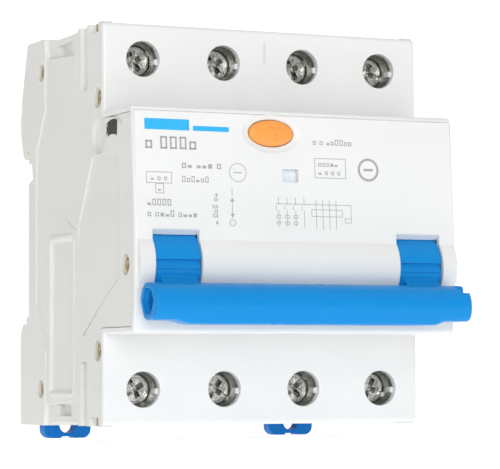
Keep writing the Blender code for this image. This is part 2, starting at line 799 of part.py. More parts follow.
def build_test_button():
    """Orange oval button with a retaining flange and a stem, and the contact leaf behind it."""
    centre = (BUTTON_X, BUTTON_Z)
    crown = [
        (BUTTON_HALF_X - 0.7, BUTTON_HALF_Z - 0.7, BUTTON_Y),
        (BUTTON_HALF_X, BUTTON_HALF_Z, BUTTON_Y + 0.5),
        (BUTTON_HALF_X, BUTTON_HALF_Z, FLANGE_FRONT_Y),
        (BUTTON_HALF_X + 0.8, BUTTON_HALF_Z + 0.4, FLANGE_FRONT_Y),
        (BUTTON_HALF_X + 0.8, BUTTON_HALF_Z + 0.4, FLANGE_FRONT_Y + 0.9),
        (1.6, 1.4, FLANGE_FRONT_Y + 0.9),
        (1.6, 1.4, FLANGE_FRONT_Y + 1.9),
    ]
    loops = []
    for half_x, half_z, y in crown:
        loops.append([place(u, v, y, "Y") for u, v in oval(centre, half_x, half_z)])
    add_piece("test_button", loft(loops), ORANGE, (BUTTON_X, FLANGE_FRONT_Y, BUTTON_Z))
    path = [(-47.6, 4.0), (-47.6, 12.5), (-54.2, 15.6), (-54.2, 19.8)]
    add_piece("test_contact", prism(strip(path, 0.5), BUTTON_X - 1.5, BUTTON_X + 1.5), COPPER)


def build_trip_parts():
    """Trip bar with its paddles, the flag behind the window, the relay and the ring core."""
    ends = [(TRIP_BAR_R, -TRIP_BAR_HALF), (TRIP_BAR_R, TRIP_BAR_HALF)]
    rod = turned(ends, (TRIP_BAR_Y, TRIP_BAR_Z), "X", 12)
    paddles = []
    for pole in range(POLES):
        x = pole_x(pole)
        low = (x - PADDLE_HALF, TRIP_BAR_Y - PADDLE_T / 2, TRIP_BAR_Z - PADDLE_LENGTH)
        paddles.append(block(low, (x + PADDLE_HALF, TRIP_BAR_Y + PADDLE_T / 2, TRIP_BAR_Z)))
    add_piece("trip_bar", combine(rod, paddles, "UNION"), BLACK, (0.0, TRIP_BAR_Y, TRIP_BAR_Z))
    low = (FLAG_X - FLAG_PLATE_HALF, FLAG_Y, FLAG_LOW_Z)
    flag = block(low, (FLAG_X + FLAG_PLATE_HALF, FLAG_Y + FLAG_PLATE_T, FLAG_HIGH_Z))
    add_piece("trip_flag", flag, FLAG_WHITE, (FLAG_X, FLAG_Y, FLAG_Z), smooth=False)
    relay = prism(rectangle(10.0, 23.0, 3.0, 15.5, 1.0), RELAY_FRONT_Y, PARTS_BACK_Y, "Y")
    add_piece("trip_relay", relay, BLACK)
    core = [
        (RING_CORE_BORE_R, PARTS_BACK_Y - 7.8),
        (RING_CORE_R - 0.5, PARTS_BACK_Y - 7.8),
        (RING_CORE_R, PARTS_BACK_Y - 7.2),
        (RING_CORE_R, PARTS_BACK_Y - 0.6),
        (RING_CORE_R - 0.5, PARTS_BACK_Y),
        (RING_CORE_BORE_R, PARTS_BACK_Y),
    ]
    add_piece("current_transformer", ring(core, (RING_CORE_X, RING_CORE_Z), "Y", 24), BLACK)


def build_circuit_board():
    """Electronics board with three components on its front face."""
    board = block((-30.0, BOARD_FRONT_Y, -0.5), (31.0, BOARD_FRONT_Y + BOARD_T, 20.3))
    root = BOARD_FRONT_Y + GAP
    parts = [
        block((-9.5, root - 3.5, 2.0), (-7.5, root, 8.0)),
        block((2.0, root - 5.0, 3.0), (7.0, root, 9.0)),
        block((26.0, root - 5.5, 4.0), (30.0, root, 12.0)),
    ]
    add_piece("circuit_board", combine(board, parts, "UNION"), BOARD_GREEN, smooth=False)


def moving_contact_mesh(x):
    """Contact arm in its open position: a hub round the crossbar, and an arm with a contact pad."""
    outline = arc((0.0, 0.0), CROSSBAR_R + HUB_WALL, math.radians(20.0), math.radians(340.0), 14)
    tip = ARM_LENGTH + 1.5
    face = ARM_T / 2 + PAD_T
    outline += [(tip, -ARM_T / 2), (tip, ARM_T / 2)]
    outline += [(tip - 0.3, face), (tip - 0.3 - PAD_LENGTH, face), (tip - PAD_LENGTH - 0.5, ARM_T / 2)]
    open_turn = Matrix.Rotation(-OPEN_ANGLE, 2)
    hub = Vector((CROSSBAR_Y, CROSSBAR_Z))
    body = prism([tuple(hub + open_turn @ Vector(point)) for point in outline], x - ARM_HALF, x + ARM_HALF)
    bore = prism(circle(hub, CROSSBAR_R + GAP, 16), x - ARM_HALF - 1.0, x + ARM_HALF + 1.0)
    return combine(body, [bore])


def build_contacts():
    """Line conductors with fixed contacts, and the moving contacts on their crossbar."""
    pivot = (0.0, CROSSBAR_Y, CROSSBAR_Z)
    path = [(FLANGE_Y, 38.0), (FLANGE_Y, 25.2), (-18.0, 20.9), (-12.0, 20.9)]
    for pole in range(POLES):
        x = pole_x(pole)
        bar = prism(strip(path, STRIP), x - STRIP_HALF, x + STRIP_HALF)
        pad = block((x - 2.0, -16.6, 18.7), (x + 2.0, -13.4, 20.6))
        add_piece(f"line_conductor_{pole + 1}", combine(bar, [pad], "UNION"), COPPER, smooth=False)
        add_piece(f"moving_contact_{pole + 1}", moving_contact_mesh(x), COPPER, pivot)
    ends = [(CROSSBAR_R, -CROSSBAR_HALF), (CROSSBAR_R, CROSSBAR_HALF)]
    rod = turned(ends, (CROSSBAR_Y, CROSSBAR_Z), "X")
    add_piece("contact_crossbar", rod, BLACK, pivot)


def arc_chute_mesh(x):
    """Stack of splitter plates joined by a back card."""
    pitch = (CHUTE_HIGH_Z - CHUTE_LOW_Z) / CHUTE_PLATES
    outline = [(CARD_BACK_Y, CHUTE_HIGH_Z), (CARD_BACK_Y, CHUTE_LOW_Z), (CARD_FRONT_Y, CHUTE_LOW_Z)]
    for index in range(CHUTE_PLATES):
        low = CHUTE_LOW_Z + index * pitch
        high = low + CHUTE_PLATE_T
        outline += [(CHUTE_FRONT_Y, low), (CHUTE_FRONT_Y, high)]
        outline += [(CARD_FRONT_Y, high), (CARD_FRONT_Y, low + pitch)]
    return prism(outline, x - CHUTE_HALF, x + CHUTE_HALF)


def coil_mesh(x):
    """Magnetic trip coil: a bobbin whose winding shows as round turns."""
    profile = [(COIL_BORE_R, COIL_FRONT_Y)]
    for index in range(COIL_TURNS):
        middle = COIL_FRONT_Y + COIL_PITCH * (index + 0.5)
        profile.append((COIL_ROOT_R, middle - COIL_PITCH / 2))
        profile += [(COIL_R, middle - COIL_PITCH / 4), (COIL_R, middle + COIL_PITCH / 4)]
    back_y = COIL_FRONT_Y + COIL_PITCH * COIL_TURNS
    profile += [(COIL_ROOT_R, back_y), (COIL_BORE_R, back_y)]
    return ring(profile, (x, 0.0), "Y", 12)


def build_pole_parts():
    """Arc chute and load conductor of each pole, coil and bimetal of the three protected poles."""
    load_path = [(FLANGE_Y, -38.0), (FLANGE_Y, -22.5), (-20.0, -18.5), (-20.0, -8.0)]
    bimetal_path = [(-36.6, -24.0), (-37.4, -15.0), (-37.4, -7.6)]
    for pole in range(POLES):
        x = pole_x(pole)
        number = pole + 1
        add_piece(f"arc_chute_{number}", arc_chute_mesh(x), ZINC, smooth=False)
        load = prism(strip(load_path, STRIP), x - STRIP_HALF, x + STRIP_HALF)
        add_piece(f"load_conductor_{number}", load, COPPER, smooth=False)
        if pole < POLES - 1:
            add_piece(f"magnetic_coil_{number}", coil_mesh(x), COPPER)
            bimetal = prism(strip(bimetal_path, 0.8), x - 2.0, x + 2.0)
            add_piece(f"bimetal_strip_{number}", bimetal, BRASS, smooth=False)


def clip_mesh(x):
    """Sliding rail clip: a rounded foot with a pull hole, a shank and a thin tongue."""
    foot = [
        (x - CLIP_HALF, CLIP_FOOT_Z, 1.8),
        (x - 1.6, CLIP_FOOT_Z),
        (x - 1.2, CLIP_FOOT_Z + 0.35),
        (x + 1.2, CLIP_FOOT_Z + 0.35),
        (x + 1.6, CLIP_FOOT_Z),
        (x + CLIP_HALF, CLIP_FOOT_Z, 1.8),
        (x + CLIP_HALF, CLIP_TIP_Z),
        (x - CLIP_HALF, CLIP_TIP_Z),
    ]
    plate = prism(foot, SEAT_Y, CLIP_T, "Y")
    relief = block((x - FAR, SEAT_Y - 1.0, CLIP_SHOULDER_Z), (x + FAR, CLIP_TONGUE_Y, CLIP_TIP_Z + 1.0))
    hole = prism(circle((x, CLIP_HOLE_Z), CLIP_HOLE_R, 20), SEAT_Y - 1.0, CLIP_T + 1.0, "Y")
    return combine(plate, [relief, hole])


def build_clips():
    """The two rail clips."""
    for name, pole in (("rail_clip_left", 0), ("rail_clip_right", POLES - 1)):
        x = pole_x(pole)
        add_piece(name, clip_mesh(x), CLIP_BLUE, (x, SEAT_Y, CLIP_FOOT_Z))


def main():
    """Build every piece of the device."""
    clear_scene()
    build_rear_housing()
    build_front_cover()
    build_side_plates()
    build_rivets()
    build_terminals()
    build_handle()
    build_test_button()
    build_trip_parts()
    build_circuit_board()
    build_contacts()
    build_pole_parts()
    build_clips()


main()
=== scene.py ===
"""Looks of a four-pole residual current device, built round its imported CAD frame.

Every place comes from the frame's nodes. Lengths are in millimetres until a mesh becomes a piece.
X runs to the device's right, Y from its face towards the mounting rail, and Z up.
"""

import json
import math
import random

import bmesh
import bpy
from mathutils import Matrix, Vector


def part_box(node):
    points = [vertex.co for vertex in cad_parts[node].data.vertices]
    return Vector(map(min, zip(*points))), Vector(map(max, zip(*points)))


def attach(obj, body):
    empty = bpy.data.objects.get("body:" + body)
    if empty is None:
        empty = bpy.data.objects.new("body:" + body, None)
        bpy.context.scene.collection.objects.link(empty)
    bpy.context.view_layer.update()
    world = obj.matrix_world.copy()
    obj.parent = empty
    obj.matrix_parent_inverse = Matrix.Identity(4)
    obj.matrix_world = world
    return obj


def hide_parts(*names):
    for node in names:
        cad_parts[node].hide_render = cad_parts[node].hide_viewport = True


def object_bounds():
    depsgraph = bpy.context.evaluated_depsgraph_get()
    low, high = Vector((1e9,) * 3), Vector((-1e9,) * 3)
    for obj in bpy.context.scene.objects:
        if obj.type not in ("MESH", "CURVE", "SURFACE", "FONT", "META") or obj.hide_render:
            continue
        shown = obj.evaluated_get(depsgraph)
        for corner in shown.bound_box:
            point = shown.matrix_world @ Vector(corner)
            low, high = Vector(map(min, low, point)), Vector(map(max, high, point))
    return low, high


MM = 0.001
POLES = 4

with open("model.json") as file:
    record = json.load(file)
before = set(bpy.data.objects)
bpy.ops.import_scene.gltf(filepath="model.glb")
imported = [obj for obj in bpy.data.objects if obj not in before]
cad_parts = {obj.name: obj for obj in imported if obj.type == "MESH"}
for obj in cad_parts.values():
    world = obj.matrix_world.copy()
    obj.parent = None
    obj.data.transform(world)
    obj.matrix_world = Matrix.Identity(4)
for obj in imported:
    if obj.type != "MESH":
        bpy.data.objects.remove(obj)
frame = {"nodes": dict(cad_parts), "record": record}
CAD_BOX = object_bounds()


def box_mm(node):
    """Lowest and highest corner of a CAD node, in millimetres."""
    low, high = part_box(node)
    return low / MM, high / MM


def middle(node):
    """Middle of a CAD node's box, in millimetres."""
    low, high = box_mm(node)
    return (low + high) / 2


# Driving dimensions, read from the frame
COVER_LOW, COVER_HIGH = box_mm("front_cover")
FACE_HALF = COVER_HIGH.x
AXLE = middle("handle_axle")
BAR_LOW, BAR_HIGH = box_mm("handle_bar")
BUTTON_LOW, BUTTON_HIGH = box_mm("test_button")
BUTTON = (BUTTON_LOW + BUTTON_HIGH) / 2
SCREW_HEAD_R = (box_mm("terminal_screw_line_1")[1] - box_mm("terminal_screw_line_1")[0]).z / 2

# Casing, as in the CAD part
SHOULDER_Y = -44.3
NOSE_Y = -61.6
NOSE_TOP_Y = -60.0
NOSE_FOOT_Y = -60.7
NOSE_HALF = 22.5
BEND_HIGH_Z = -2.0
BEND_LOW_Z = -15.8
SCREW_HOLE_R = 3.7
BAR_SAG = 0.8
SKIN = 1.2
SHOULDER_EDGE_Z = 40.9
COVER_EDGE_R = 0.45
EDGE_R = 1.0
SEAM = 0.14
SEAM_INSET = 1.0
INK_T = 0.025

# Side cheeks, distances from the device's middle
CLAW_HALF = -CAD_BOX[0][0] / MM
CHEEK_INNER = box_mm("right_side_plate")[0].x
MIDDLE_HALF = 35.65
FRONT_HALF = 35.55
FRAME_RISE = 0.30
RIVET_FACE = 35.05
REAR_RIVET_FACE = 35.40
SINK_FLOOR = 34.6

# Side cheeks, in the side view
CHEEK_EDGE_Z = 41.2
CHEEK_GAP = 0.08
PARTING_Y = -29.5
TROUGH_Z = 40.6
SINK_R = 2.15
REAR_SINK_R = 1.9
PAST = 2.0

# Rivets
RIVET_NODES = ["rivet_rear_top", "rivet_front_top", "rivet_front_bottom", "rivet_rear_bottom", "handle_axle"]
RIVET_HEAD_T = 0.45
PIN_R = 1.1

# Toggles
WINDOW_RISE = 6.9
WINDOW_HALF = 5.0
DRUM_R = 6.95
DRUM_HALF = 4.78
LEVER_ANGLE = math.radians(37.0)
LEVER_HALF = 2.0
LEVER_REACH = 12.6
LEVER_SIDE = 3.8
TOGGLE_X = 27.0
AXLE_HOLE_R = 1.6

# Handle bar: where its underside starts to hang, seen from each end, and over what length
SAG_LEFT = 4.2
SAG_LEFT_RUN = 4.0
SAG_RIGHT = 5.2
SAG_RIGHT_RUN = 3.2
BAR_ROUND = 0.6
BAR_STEPS = 96

# Terminal screws
SCREW_HEAD_T = 2.5
SCREW_SHANK_R = 2.4
SCREW_LENGTH = 9.4
SLOT_HALF = 0.5
SLOT_DEPTH = 1.0
COLLAR_FRONT_Y = -43.1
COLLAR_BACK_Y = -37.7
COLLAR_GAP = 0.07
RIB_T = 0.7
# How far each screw is turned, in degrees
SCREW_TURNS = {"line": (-32.0, 52.0, -28.0, 18.0), "load": (60.0, 35.0, -40.0, 25.0)}

# Test button
BUTTON_HALF_X = 4.96
BUTTON_HALF_Z = 2.68
BUTTON_FRONT_Y = -60.75
FLANGE_FRONT_Y = -58.1
FLANGE_T = 0.9
BUTTON_T_DEPTH = 0.16

# Trip flag
FLAG_X = -1.6
FLAG_PLATE_HALF = 2.9
FLAG_LOW_Z = 4.0


# ---------------------------------------------------------------- mesh work


def place(u, v, along, axis):
    """Turn the two outline coordinates and the distance along the axis into a point."""
    return {"X": (along, u, v), "Y": (u, along, v), "Z": (u, v, along)}[axis]


def arc(centre, radius, start, end, steps):
    """Points of an arc in the outline plane, angles in radians from the first axis."""
    angles = [start + (end - start) * step / steps for step in range(steps + 1)]
    return [(centre[0] + radius * math.cos(a), centre[1] + radius * math.sin(a)) for a in angles]


def circle(centre, radius, segments=48):
    """A closed round outline, without a repeated point."""
    return arc(centre, radius, 0.0, 2 * math.pi, segments)[:-1]


def oval(centre, half_u, half_v, segments=64):
    """A closed elliptical outline, without a repeated point."""
    return [(centre[0] + u * half_u, centre[1] + v * half_v) for u, v in circle((0.0, 0.0), 1.0, segments)]


def rectangle(low_u, high_u, low_v, high_v):
    """A closed rectangular outline."""
    return [(low_u, low_v), (high_u, low_v), (high_u, high_v), (low_u, high_v)]


def rounded(outline, steps=6):
    """Replace each corner that states a radius by an arc of the given number of steps."""
    points = []
    for index, corner in enumerate(outline):
        if len(corner) == 2:
            points.append(corner)
            continue
        here = Vector(corner[:2])
        back = (Vector(outline[index - 1][:2]) - here).normalized()
        ahead = (Vector(outline[(index + 1) % len(outline)][:2]) - here).normalized()
        half = back.angle(ahead) / 2
        centre = here + (back + ahead).normalized() * corner[2] / math.sin(half)
        start = here + back * corner[2] / math.tan(half) - centre
        end = here + ahead * corner[2] / math.tan(half) - centre
        sweep = start.angle_signed(end)
        for step in range(steps + 1):
            turned_arm = start.copy()
            turned_arm.rotate(Matrix.Rotation(-sweep * step / steps, 2))
            points.append(tuple(centre + turned_arm))
    return points


def finish_mesh(bm):
    """Turn a bmesh into mesh data with its faces pointing outwards."""
    bmesh.ops.recalc_face_normals(bm, faces=bm.faces)
    mesh = bpy.data.meshes.new("shape")
    bm.to_mesh(mesh)
    bm.free()
    return mesh


def prism(outline, low, high, axis="X"):
    """Extrude a closed outline along an axis from low to high."""
    bm = bmesh.new()
    face = bm.faces.new([bm.verts.new(place(u, v, low, axis)) for u, v in rounded(outline)])
    grown = bmesh.ops.extrude_face_region(bm, geom=[face])["geom"]
    top = [item for item in grown if isinstance(item, bmesh.types.BMVert)]
    bmesh.ops.translate(bm, verts=top, vec=place(0.0, 0.0, high - low, axis))
    return finish_mesh(bm)


def block(low, high):
    """A box between two corners."""
    return prism(rectangle(low[1], high[1], low[2], high[2]), low[0], high[0])


def loft(sections):
    """Join closed loops of equal length, each a list of points, and cap both ends."""
    bm = bmesh.new()
    loops = [[bm.verts.new(point) for point in section] for section in sections]
    count = len(sections[0])
    for first, second in zip(loops, loops[1:]):
        for index in range(count):
            after = (index + 1) % count
            bm.faces.new((first[index], first[after], second[after], second[index]))
    bm.faces.new(loops[0])
    bm.faces.new(loops[-1])
    return finish_mesh(bm)


def tube(sections):
    """Join closed loops of equal length into a ring, the last loop joined to the first."""
    bm = bmesh.new()
    loops = [[bm.verts.new(point) for point in section] for section in sections]
    count = len(sections[0])
    for first, second in zip(loops, loops[1:] + loops[:1]):
        for index in range(count):
            after = (index + 1) % count
            bm.faces.new((first[index], first[after], second[after], second[index]))
    return finish_mesh(bm)


def smooth_loop(points, steps=6):
    """A closed Catmull-Rom curve through the points."""
    curve = []
    count = len(points)
    for index in range(count):
        before, start, end, after = (Vector(points[(index + shift) % count]) for shift in (-1, 0, 1, 2))
        for step in range(steps):
            t = step / steps
            point = 2 * start + (end - before) * t
            point += (2 * before - 5 * start + 4 * end - after) * t * t
            point += (3 * start - before - 3 * end + after) * t * t * t
            curve.append(tuple(point / 2))
    return curve


def turned(profile, centre, axis="Y", segments=48):
    """Spin (radius, distance along the axis) points round a centre line, closed by end caps."""
    loops = []
    for radius, along in profile:
        loops.append([place(u, v, along, axis) for u, v in circle(centre, radius, segments)])
    return loft(loops)


def combine(base, tools, operation="DIFFERENCE"):
    """Cut the tool meshes out of the base mesh, or join them to it, one after another."""
    target = bpy.data.objects.new("target", base)
    bpy.context.collection.objects.link(target)
    for tool_mesh in tools:
        tool = bpy.data.objects.new("tool", tool_mesh)
        bpy.context.collection.objects.link(tool)
        step = target.modifiers.new("step", "BOOLEAN")
        step.operation = operation
        step.solver = "EXACT"
        step.object = tool
        graph = bpy.context.evaluated_depsgraph_get()
        result = bpy.data.meshes.new_from_object(target.evaluated_get(graph))
        target.modifiers.clear()
        target.data = result
        bpy.data.objects.remove(tool, do_unlink=True)
    mesh = target.data
    bpy.data.objects.remove(target, do_unlink=True)
    return mesh


def cad_mesh(node):
    """A copy of a CAD node in millimetres, its triangles joined into whole flat faces."""
    bm = bmesh.new()
    bm.from_mesh(frame["nodes"][node].data)
    bmesh.ops.scale(bm, vec=Vector((1.0, 1.0, 1.0)) / MM, verts=bm.verts)
    bmesh.ops.remove_doubles(bm, verts=bm.verts, dist=0.001)
    flat = math.radians(0.3)
    bmesh.ops.dissolve_limit(bm, angle_limit=flat, verts=bm.verts, edges=bm.edges)
    return finish_mesh(bm)


def join_meshes(meshes):
    """One mesh made of several that don't touch."""
    bm = bmesh.new()
    for mesh in meshes:
        bm.from_mesh(mesh)
    return finish_mesh(bm)


def add_piece(name, mesh, look, body, nodes=(), origin=(0.0, 0.0, 0.0), limit=40.0):
    """Make a finished piece of a mesh in device millimetres, and tie it to its body and nodes.

    Edges that turn by more than the limit, in degrees, stay sharp.
    """
    mesh.transform(Matrix.Translation(-Vector(origin)))
    mesh.transform(Matrix.Scale(MM, 4))
    mesh.name = name
    mesh.materials.clear()
    mesh.materials.append(look)
    mesh.shade_smooth()
    mesh.set_sharp_from_angle(angle=math.radians(limit))
    piece = bpy.data.objects.new(name, mesh)
    piece.location = Vector(origin) * MM
    bpy.context.collection.objects.link(piece)
    weighted = piece.modifiers.new("weighted", "WEIGHTED_NORMAL")
    weighted.keep_sharp = True
    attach(piece, body)
    if nodes:
        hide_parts(*nodes)


# ---------------------------------------------------------------- materials

SHINE = 0.5
BLUE_SHINE = 0.15
EDGE_HIGHLIGHT_R = 0.25

# Plastics: colour, roughness, depth of the eroded texture, colour of the painted highlight on edges, its
# radius, shine
PLASTICS = {
    # housing_white, the same white plastic as the cover, is darker and warmer than cover_white: painted
    # shade and warm light on the cheeks and rear housing
    "housing_white": ((0.74, 0.745, 0.71), 0.42, 0.010, (0.86, 0.87, 0.84)),
    "cover_white": ((0.80, 0.81, 0.80), 0.36, 0.006, (0.88, 0.89, 0.88)),
    "handle_blue": ((0.006, 0.255, 0.66), 0.32, 0.004, (0.05, 0.38, 0.80), EDGE_HIGHLIGHT_R, BLUE_SHINE),
    "clip_blue": ((0.004, 0.18, 0.60), 0.38, 0.006, (0.03, 0.26, 0.70), EDGE_HIGHLIGHT_R, BLUE_SHINE),
    "button_orange": ((0.92, 0.34, 0.065), 0.34, 0.004, (1.0, 0.46, 0.14)),
    "flag_white": ((0.80, 0.87, 0.92), 0.25, 0.002, (0.90, 0.94, 0.96)),
    "inner_black": ((0.025, 0.025, 0.026), 0.45, 0.008, (0.07, 0.07, 0.07)),
    "board_green": ((0.02, 0.15, 0.07), 0.30, 0.004, (0.12, 0.26, 0.12)),
    "latch_brown": ((0.36, 0.27, 0.17), 0.45, 0.006, (0.50, 0.40, 0.28)),
}

# Metals: colour, colour of stains, roughness, depth of scratches, and their stretch
METALS = {
    "zinc_steel": ((0.70, 0.70, 0.67), (0.42, 0.42, 0.39), 0.26, 0.003),
    "brass": ((0.62, 0.47, 0.24), (0.40, 0.31, 0.17), 0.34, 0.003),
    "copper": ((0.72, 0.36, 0.21), (0.45, 0.20, 0.12), 0.32, 0.003, (0.2, 1.0, 1.0)),
    "screw_zinc": ((0.78, 0.78, 0.75), (0.50, 0.50, 0.47), 0.20, 0.004),
    "collar_steel": ((0.42, 0.42, 0.38), (0.28, 0.28, 0.25), 0.38, 0.004),
}

INKS = {"print_grey": (0.38, 0.38, 0.39), "print_blue": (0.02, 0.42, 0.80)}


def new_material(name, roughness, metallic=0.0):
    """A Principled material and its node tree and shader."""
    made = bpy.data.materials.new(name)
    made.use_nodes = True
    shader = made.node_tree.nodes["Principled BSDF"]
    shader.inputs["Roughness"].default_value = roughness
    shader.inputs["Metallic"].default_value = metallic
    return made, made.node_tree, shader


def add_node(tree, kind, values=None, **settings):
    """Add a shader node, set its properties, and set its inputs from a dict."""
    node = tree.nodes.new(kind)
    for key, value in settings.items():
        setattr(node, key, value)
    for key, value in (values or {}).items():
        node.inputs[key].default_value = value
    return node


def noise(tree, scale, detail=2.0, stretch=(1.0, 1.0, 1.0)):
    """A noise value over the piece, scale in features per metre along each stretched axis."""
    coordinates = add_node(tree, "ShaderNodeTexCoord")
    mapping = add_node(tree, "ShaderNodeMapping", {"Scale": stretch})
    texture = add_node(tree, "ShaderNodeTexNoise", {"Scale": scale, "Detail": detail})
    tree.links.new(coordinates.outputs["Object"], mapping.inputs["Vector"])
    tree.links.new(mapping.outputs["Vector"], texture.inputs["Vector"])
    return texture.outputs["Fac"]


def ramp(tree, value, low, high, start=0.35, end=0.65):
    """Map a value from start..end to low..high."""
    ends = {"From Min": start, "From Max": end, "To Min": low, "To Max": high}
    node = add_node(tree, "ShaderNodeMapRange", ends)
    tree.links.new(value, node.inputs["Value"])
    return node.outputs["Result"]


def blend_colours(tree, factor, first, second):
    """Mix two colours, each a tuple or a socket, by a factor socket."""
    node = add_node(tree, "ShaderNodeMix", data_type="RGBA")
    tree.links.new(factor, node.inputs[0])
    for index, colour in ((6, first), (7, second)):
        if isinstance(colour, tuple):
            node.inputs[index].default_value = (*colour, 1.0)
        else:
            tree.links.new(colour, node.inputs[index])
    return node.outputs[2]


def edge_share(tree, radius):
    """A value near 1 on edges within the radius in millimetres, and the normal rounded over them."""
    rounding = add_node(tree, "ShaderNodeBevel", {"Radius": radius * MM}, samples=6)
    surface = add_node(tree, "ShaderNodeNewGeometry")
    dot = add_node(tree, "ShaderNodeVectorMath", operation="DOT_PRODUCT")
    tree.links.new(rounding.outputs["Normal"], dot.inputs[0])
    tree.links.new(surface.outputs["Normal"], dot.inputs[1])
    return ramp(tree, dot.outputs["Value"], 1.0, 0.0, 0.80, 0.99), rounding.outputs["Normal"]


def bump(tree, height, depth, normal):
    """A bump of the given depth in millimetres over a normal."""
    node = add_node(tree, "ShaderNodeBump", {"Strength": 1.0, "Distance": depth * MM})
    tree.links.new(height, node.inputs["Height"])
    tree.links.new(normal, node.inputs["Normal"])
    return node.outputs["Normal"]


def tint(colour, factor):
    """A lighter or darker version of a colour."""
    return tuple(min(1.0, part * factor) for part in colour)


def plastic(name, colour, roughness, grain, edge_highlight_colour, rounding=EDGE_HIGHLIGHT_R, shine=SHINE):
    """Moulded plastic: eroded texture of the given grain in millimetres, flow marks, and pale edges that are
    a painted highlight, broken up in patches.
    """
    made, tree, shader = new_material(name, roughness)
    shader.inputs["Specular IOR Level"].default_value = shine
    flow = ramp(tree, noise(tree, 40.0, 3.0, (1.0, 0.5, 2.0)), 0.0, 1.0)
    body = blend_colours(tree, flow, tint(colour, 0.965), colour)
    # Mask of the edges, where a highlight is painted, and the normal rounded over them
    edge_highlight, soft_normal = edge_share(tree, rounding)
    patchy = ramp(tree, noise(tree, 900.0, 2.0), 0.35, 1.0)
    # Painted highlight on the edges, broken up in patches by noise
    patchy_highlight = add_node(tree, "ShaderNodeMath", operation="MULTIPLY")
    tree.links.new(edge_highlight, patchy_highlight.inputs[0])
    tree.links.new(patchy, patchy_highlight.inputs[1])
    painted = blend_colours(tree, patchy_highlight.outputs[0], body, edge_highlight_colour)
    tree.links.new(painted, shader.inputs["Base Color"])
    gloss = ramp(tree, noise(tree, 220.0, 3.0), roughness - 0.05, roughness + 0.06)
    tree.links.new(gloss, shader.inputs["Roughness"])
    texture = noise(tree, 3200.0, 2.0)
    tree.links.new(bump(tree, texture, grain, soft_normal), shader.inputs["Normal"])
    return made


def metal(name, colour, stain, roughness, grain, scratch=(1.0, 1.0, 1.0), rounding=0.15):
    """Plated or drawn metal: stains, fine scratches along one way, and brighter edges that are a painted
    highlight.
    """
    made, tree, shader = new_material(name, roughness, 1.0)
    spots = ramp(tree, noise(tree, 700.0, 4.0), 0.0, 1.0, 0.42, 0.62)
    body = blend_colours(tree, spots, stain, colour)
    edge_highlight, soft_normal = edge_share(tree, rounding)
    # Edges a fifth brighter than the body: painted highlight
    painted = blend_colours(tree, edge_highlight, body, tint(colour, 1.2))
    tree.links.new(painted, shader.inputs["Base Color"])
    gloss = ramp(tree, noise(tree, 1100.0, 3.0, scratch), roughness - 0.08, roughness + 0.12)
    tree.links.new(gloss, shader.inputs["Roughness"])
    texture = noise(tree, 2600.0, 3.0, scratch)
    tree.links.new(bump(tree, texture, grain, soft_normal), shader.inputs["Normal"])
    return made


def ink(name, colour):
    """Pad-printed ink: thin, slightly uneven in colour and gloss."""
    made, tree, shader = new_material(name, 0.45)
    cover = ramp(tree, noise(tree, 2400.0, 2.0), 0.0, 1.0)
    painted = blend_colours(tree, cover, tint(colour, 0.95), tint(colour, 1.05))
    tree.links.new(painted, shader.inputs["Base Color"])
    gloss = ramp(tree, noise(tree, 1500.0, 2.0), 0.38, 0.55)
    tree.links.new(gloss, shader.inputs["Roughness"])
    return made


def make_looks():
    """Every material, by the record's slot names, and the extra ones of the new pieces."""
    looks = {name: plastic(name, *values) for name, values in PLASTICS.items()}
    looks.update({name: metal(name, *values) for name, values in METALS.items()})
    looks.update({name: ink(name, colour) for name, colour in INKS.items()})
    return looks


# ---------------------------------------------------------------- cover

SHARP = math.radians(30.0)

# The dish round the test button: half width, half height and depth behind the face
DISH = [
    (6.45, 3.96, -0.03),
    (6.2, 3.72, 0.10),
    (5.9, 3.45, 0.30),
    (5.09, 2.81, 0.36),
    (5.09, 2.81, 1.7),
    (5.6, 3.3, 1.7),
    (6.45, 3.96, 0.7),
]


def face_y(z):
    """Front of the nose at a height, between its top edge, its two bends and its foot."""
    if z > BEND_HIGH_Z:
        share = (z - BEND_HIGH_Z) / (NOSE_HALF - BEND_HIGH_Z)
        return NOSE_Y + share * (NOSE_TOP_Y - NOSE_Y)
    share = max(0.0, (BEND_LOW_Z - z) / (NOSE_HALF + BEND_LOW_Z))
    return NOSE_Y + share * (NOSE_FOOT_Y - NOSE_Y)


def round_edges(mesh, radius, chosen, segments=4):
    """Round the sharp edges whose middle and face normals the chosen test accepts."""
    bm = bmesh.new()
    bm.from_mesh(mesh)
    bm.normal_update()
    edges = []
    for edge in bm.edges:
        if not edge.is_manifold or edge.calc_face_angle() < SHARP:
            continue
        centre = (edge.verts[0].co + edge.verts[1].co) / 2
        if chosen(centre, [face.normal for face in edge.link_faces]):
            edges.append(edge)
    bmesh.ops.bevel(bm, geom=edges, offset=radius, segments=segments, profile=0.5, affect="EDGES")
    return finish_mesh(bm)


def on_cover_rim(centre, normals):
    """True for the cover's outer side edges, where its skin ends beside the side plates."""
    if abs(centre.x) < FACE_HALF - 0.01:
        return False
    away = [normal for normal in normals if abs(normal.x) < 0.5]
    outwards = Vector((0.0, centre.y - SHOULDER_Y / 2, centre.z))
    return bool(away) and away[0].dot(outwards) > 0.0 and centre.y < COVER_HIGH.y - 0.5


def window_lips():
    """Sloped lips that close the top of both toggle windows down to the drums."""
    top = AXLE.z + WINDOW_RISE
    outline = [
        (NOSE_Y + 0.05, top),
        (NOSE_Y + 1.55, top - 1.05),
        (NOSE_Y + 2.0, top - 0.9),
        (NOSE_Y + 2.0, top + 0.4),
        (NOSE_Y + 0.3, top + 0.4),
    ]
    reach = WINDOW_HALF + 0.05
    return [prism(outline, x - reach, x + reach) for x in (-TOGGLE_X, TOGGLE_X)]


def dish_ring():
    """Shallow oval dish that leads from the face down to the test button."""
    sections = []
    for half_x, half_z, depth in DISH:
        outline = oval((BUTTON.x, BUTTON.z), half_x, half_z)
        sections.append([(x, face_y(z) + depth, z) for x, z in outline])
    return tube(sections)


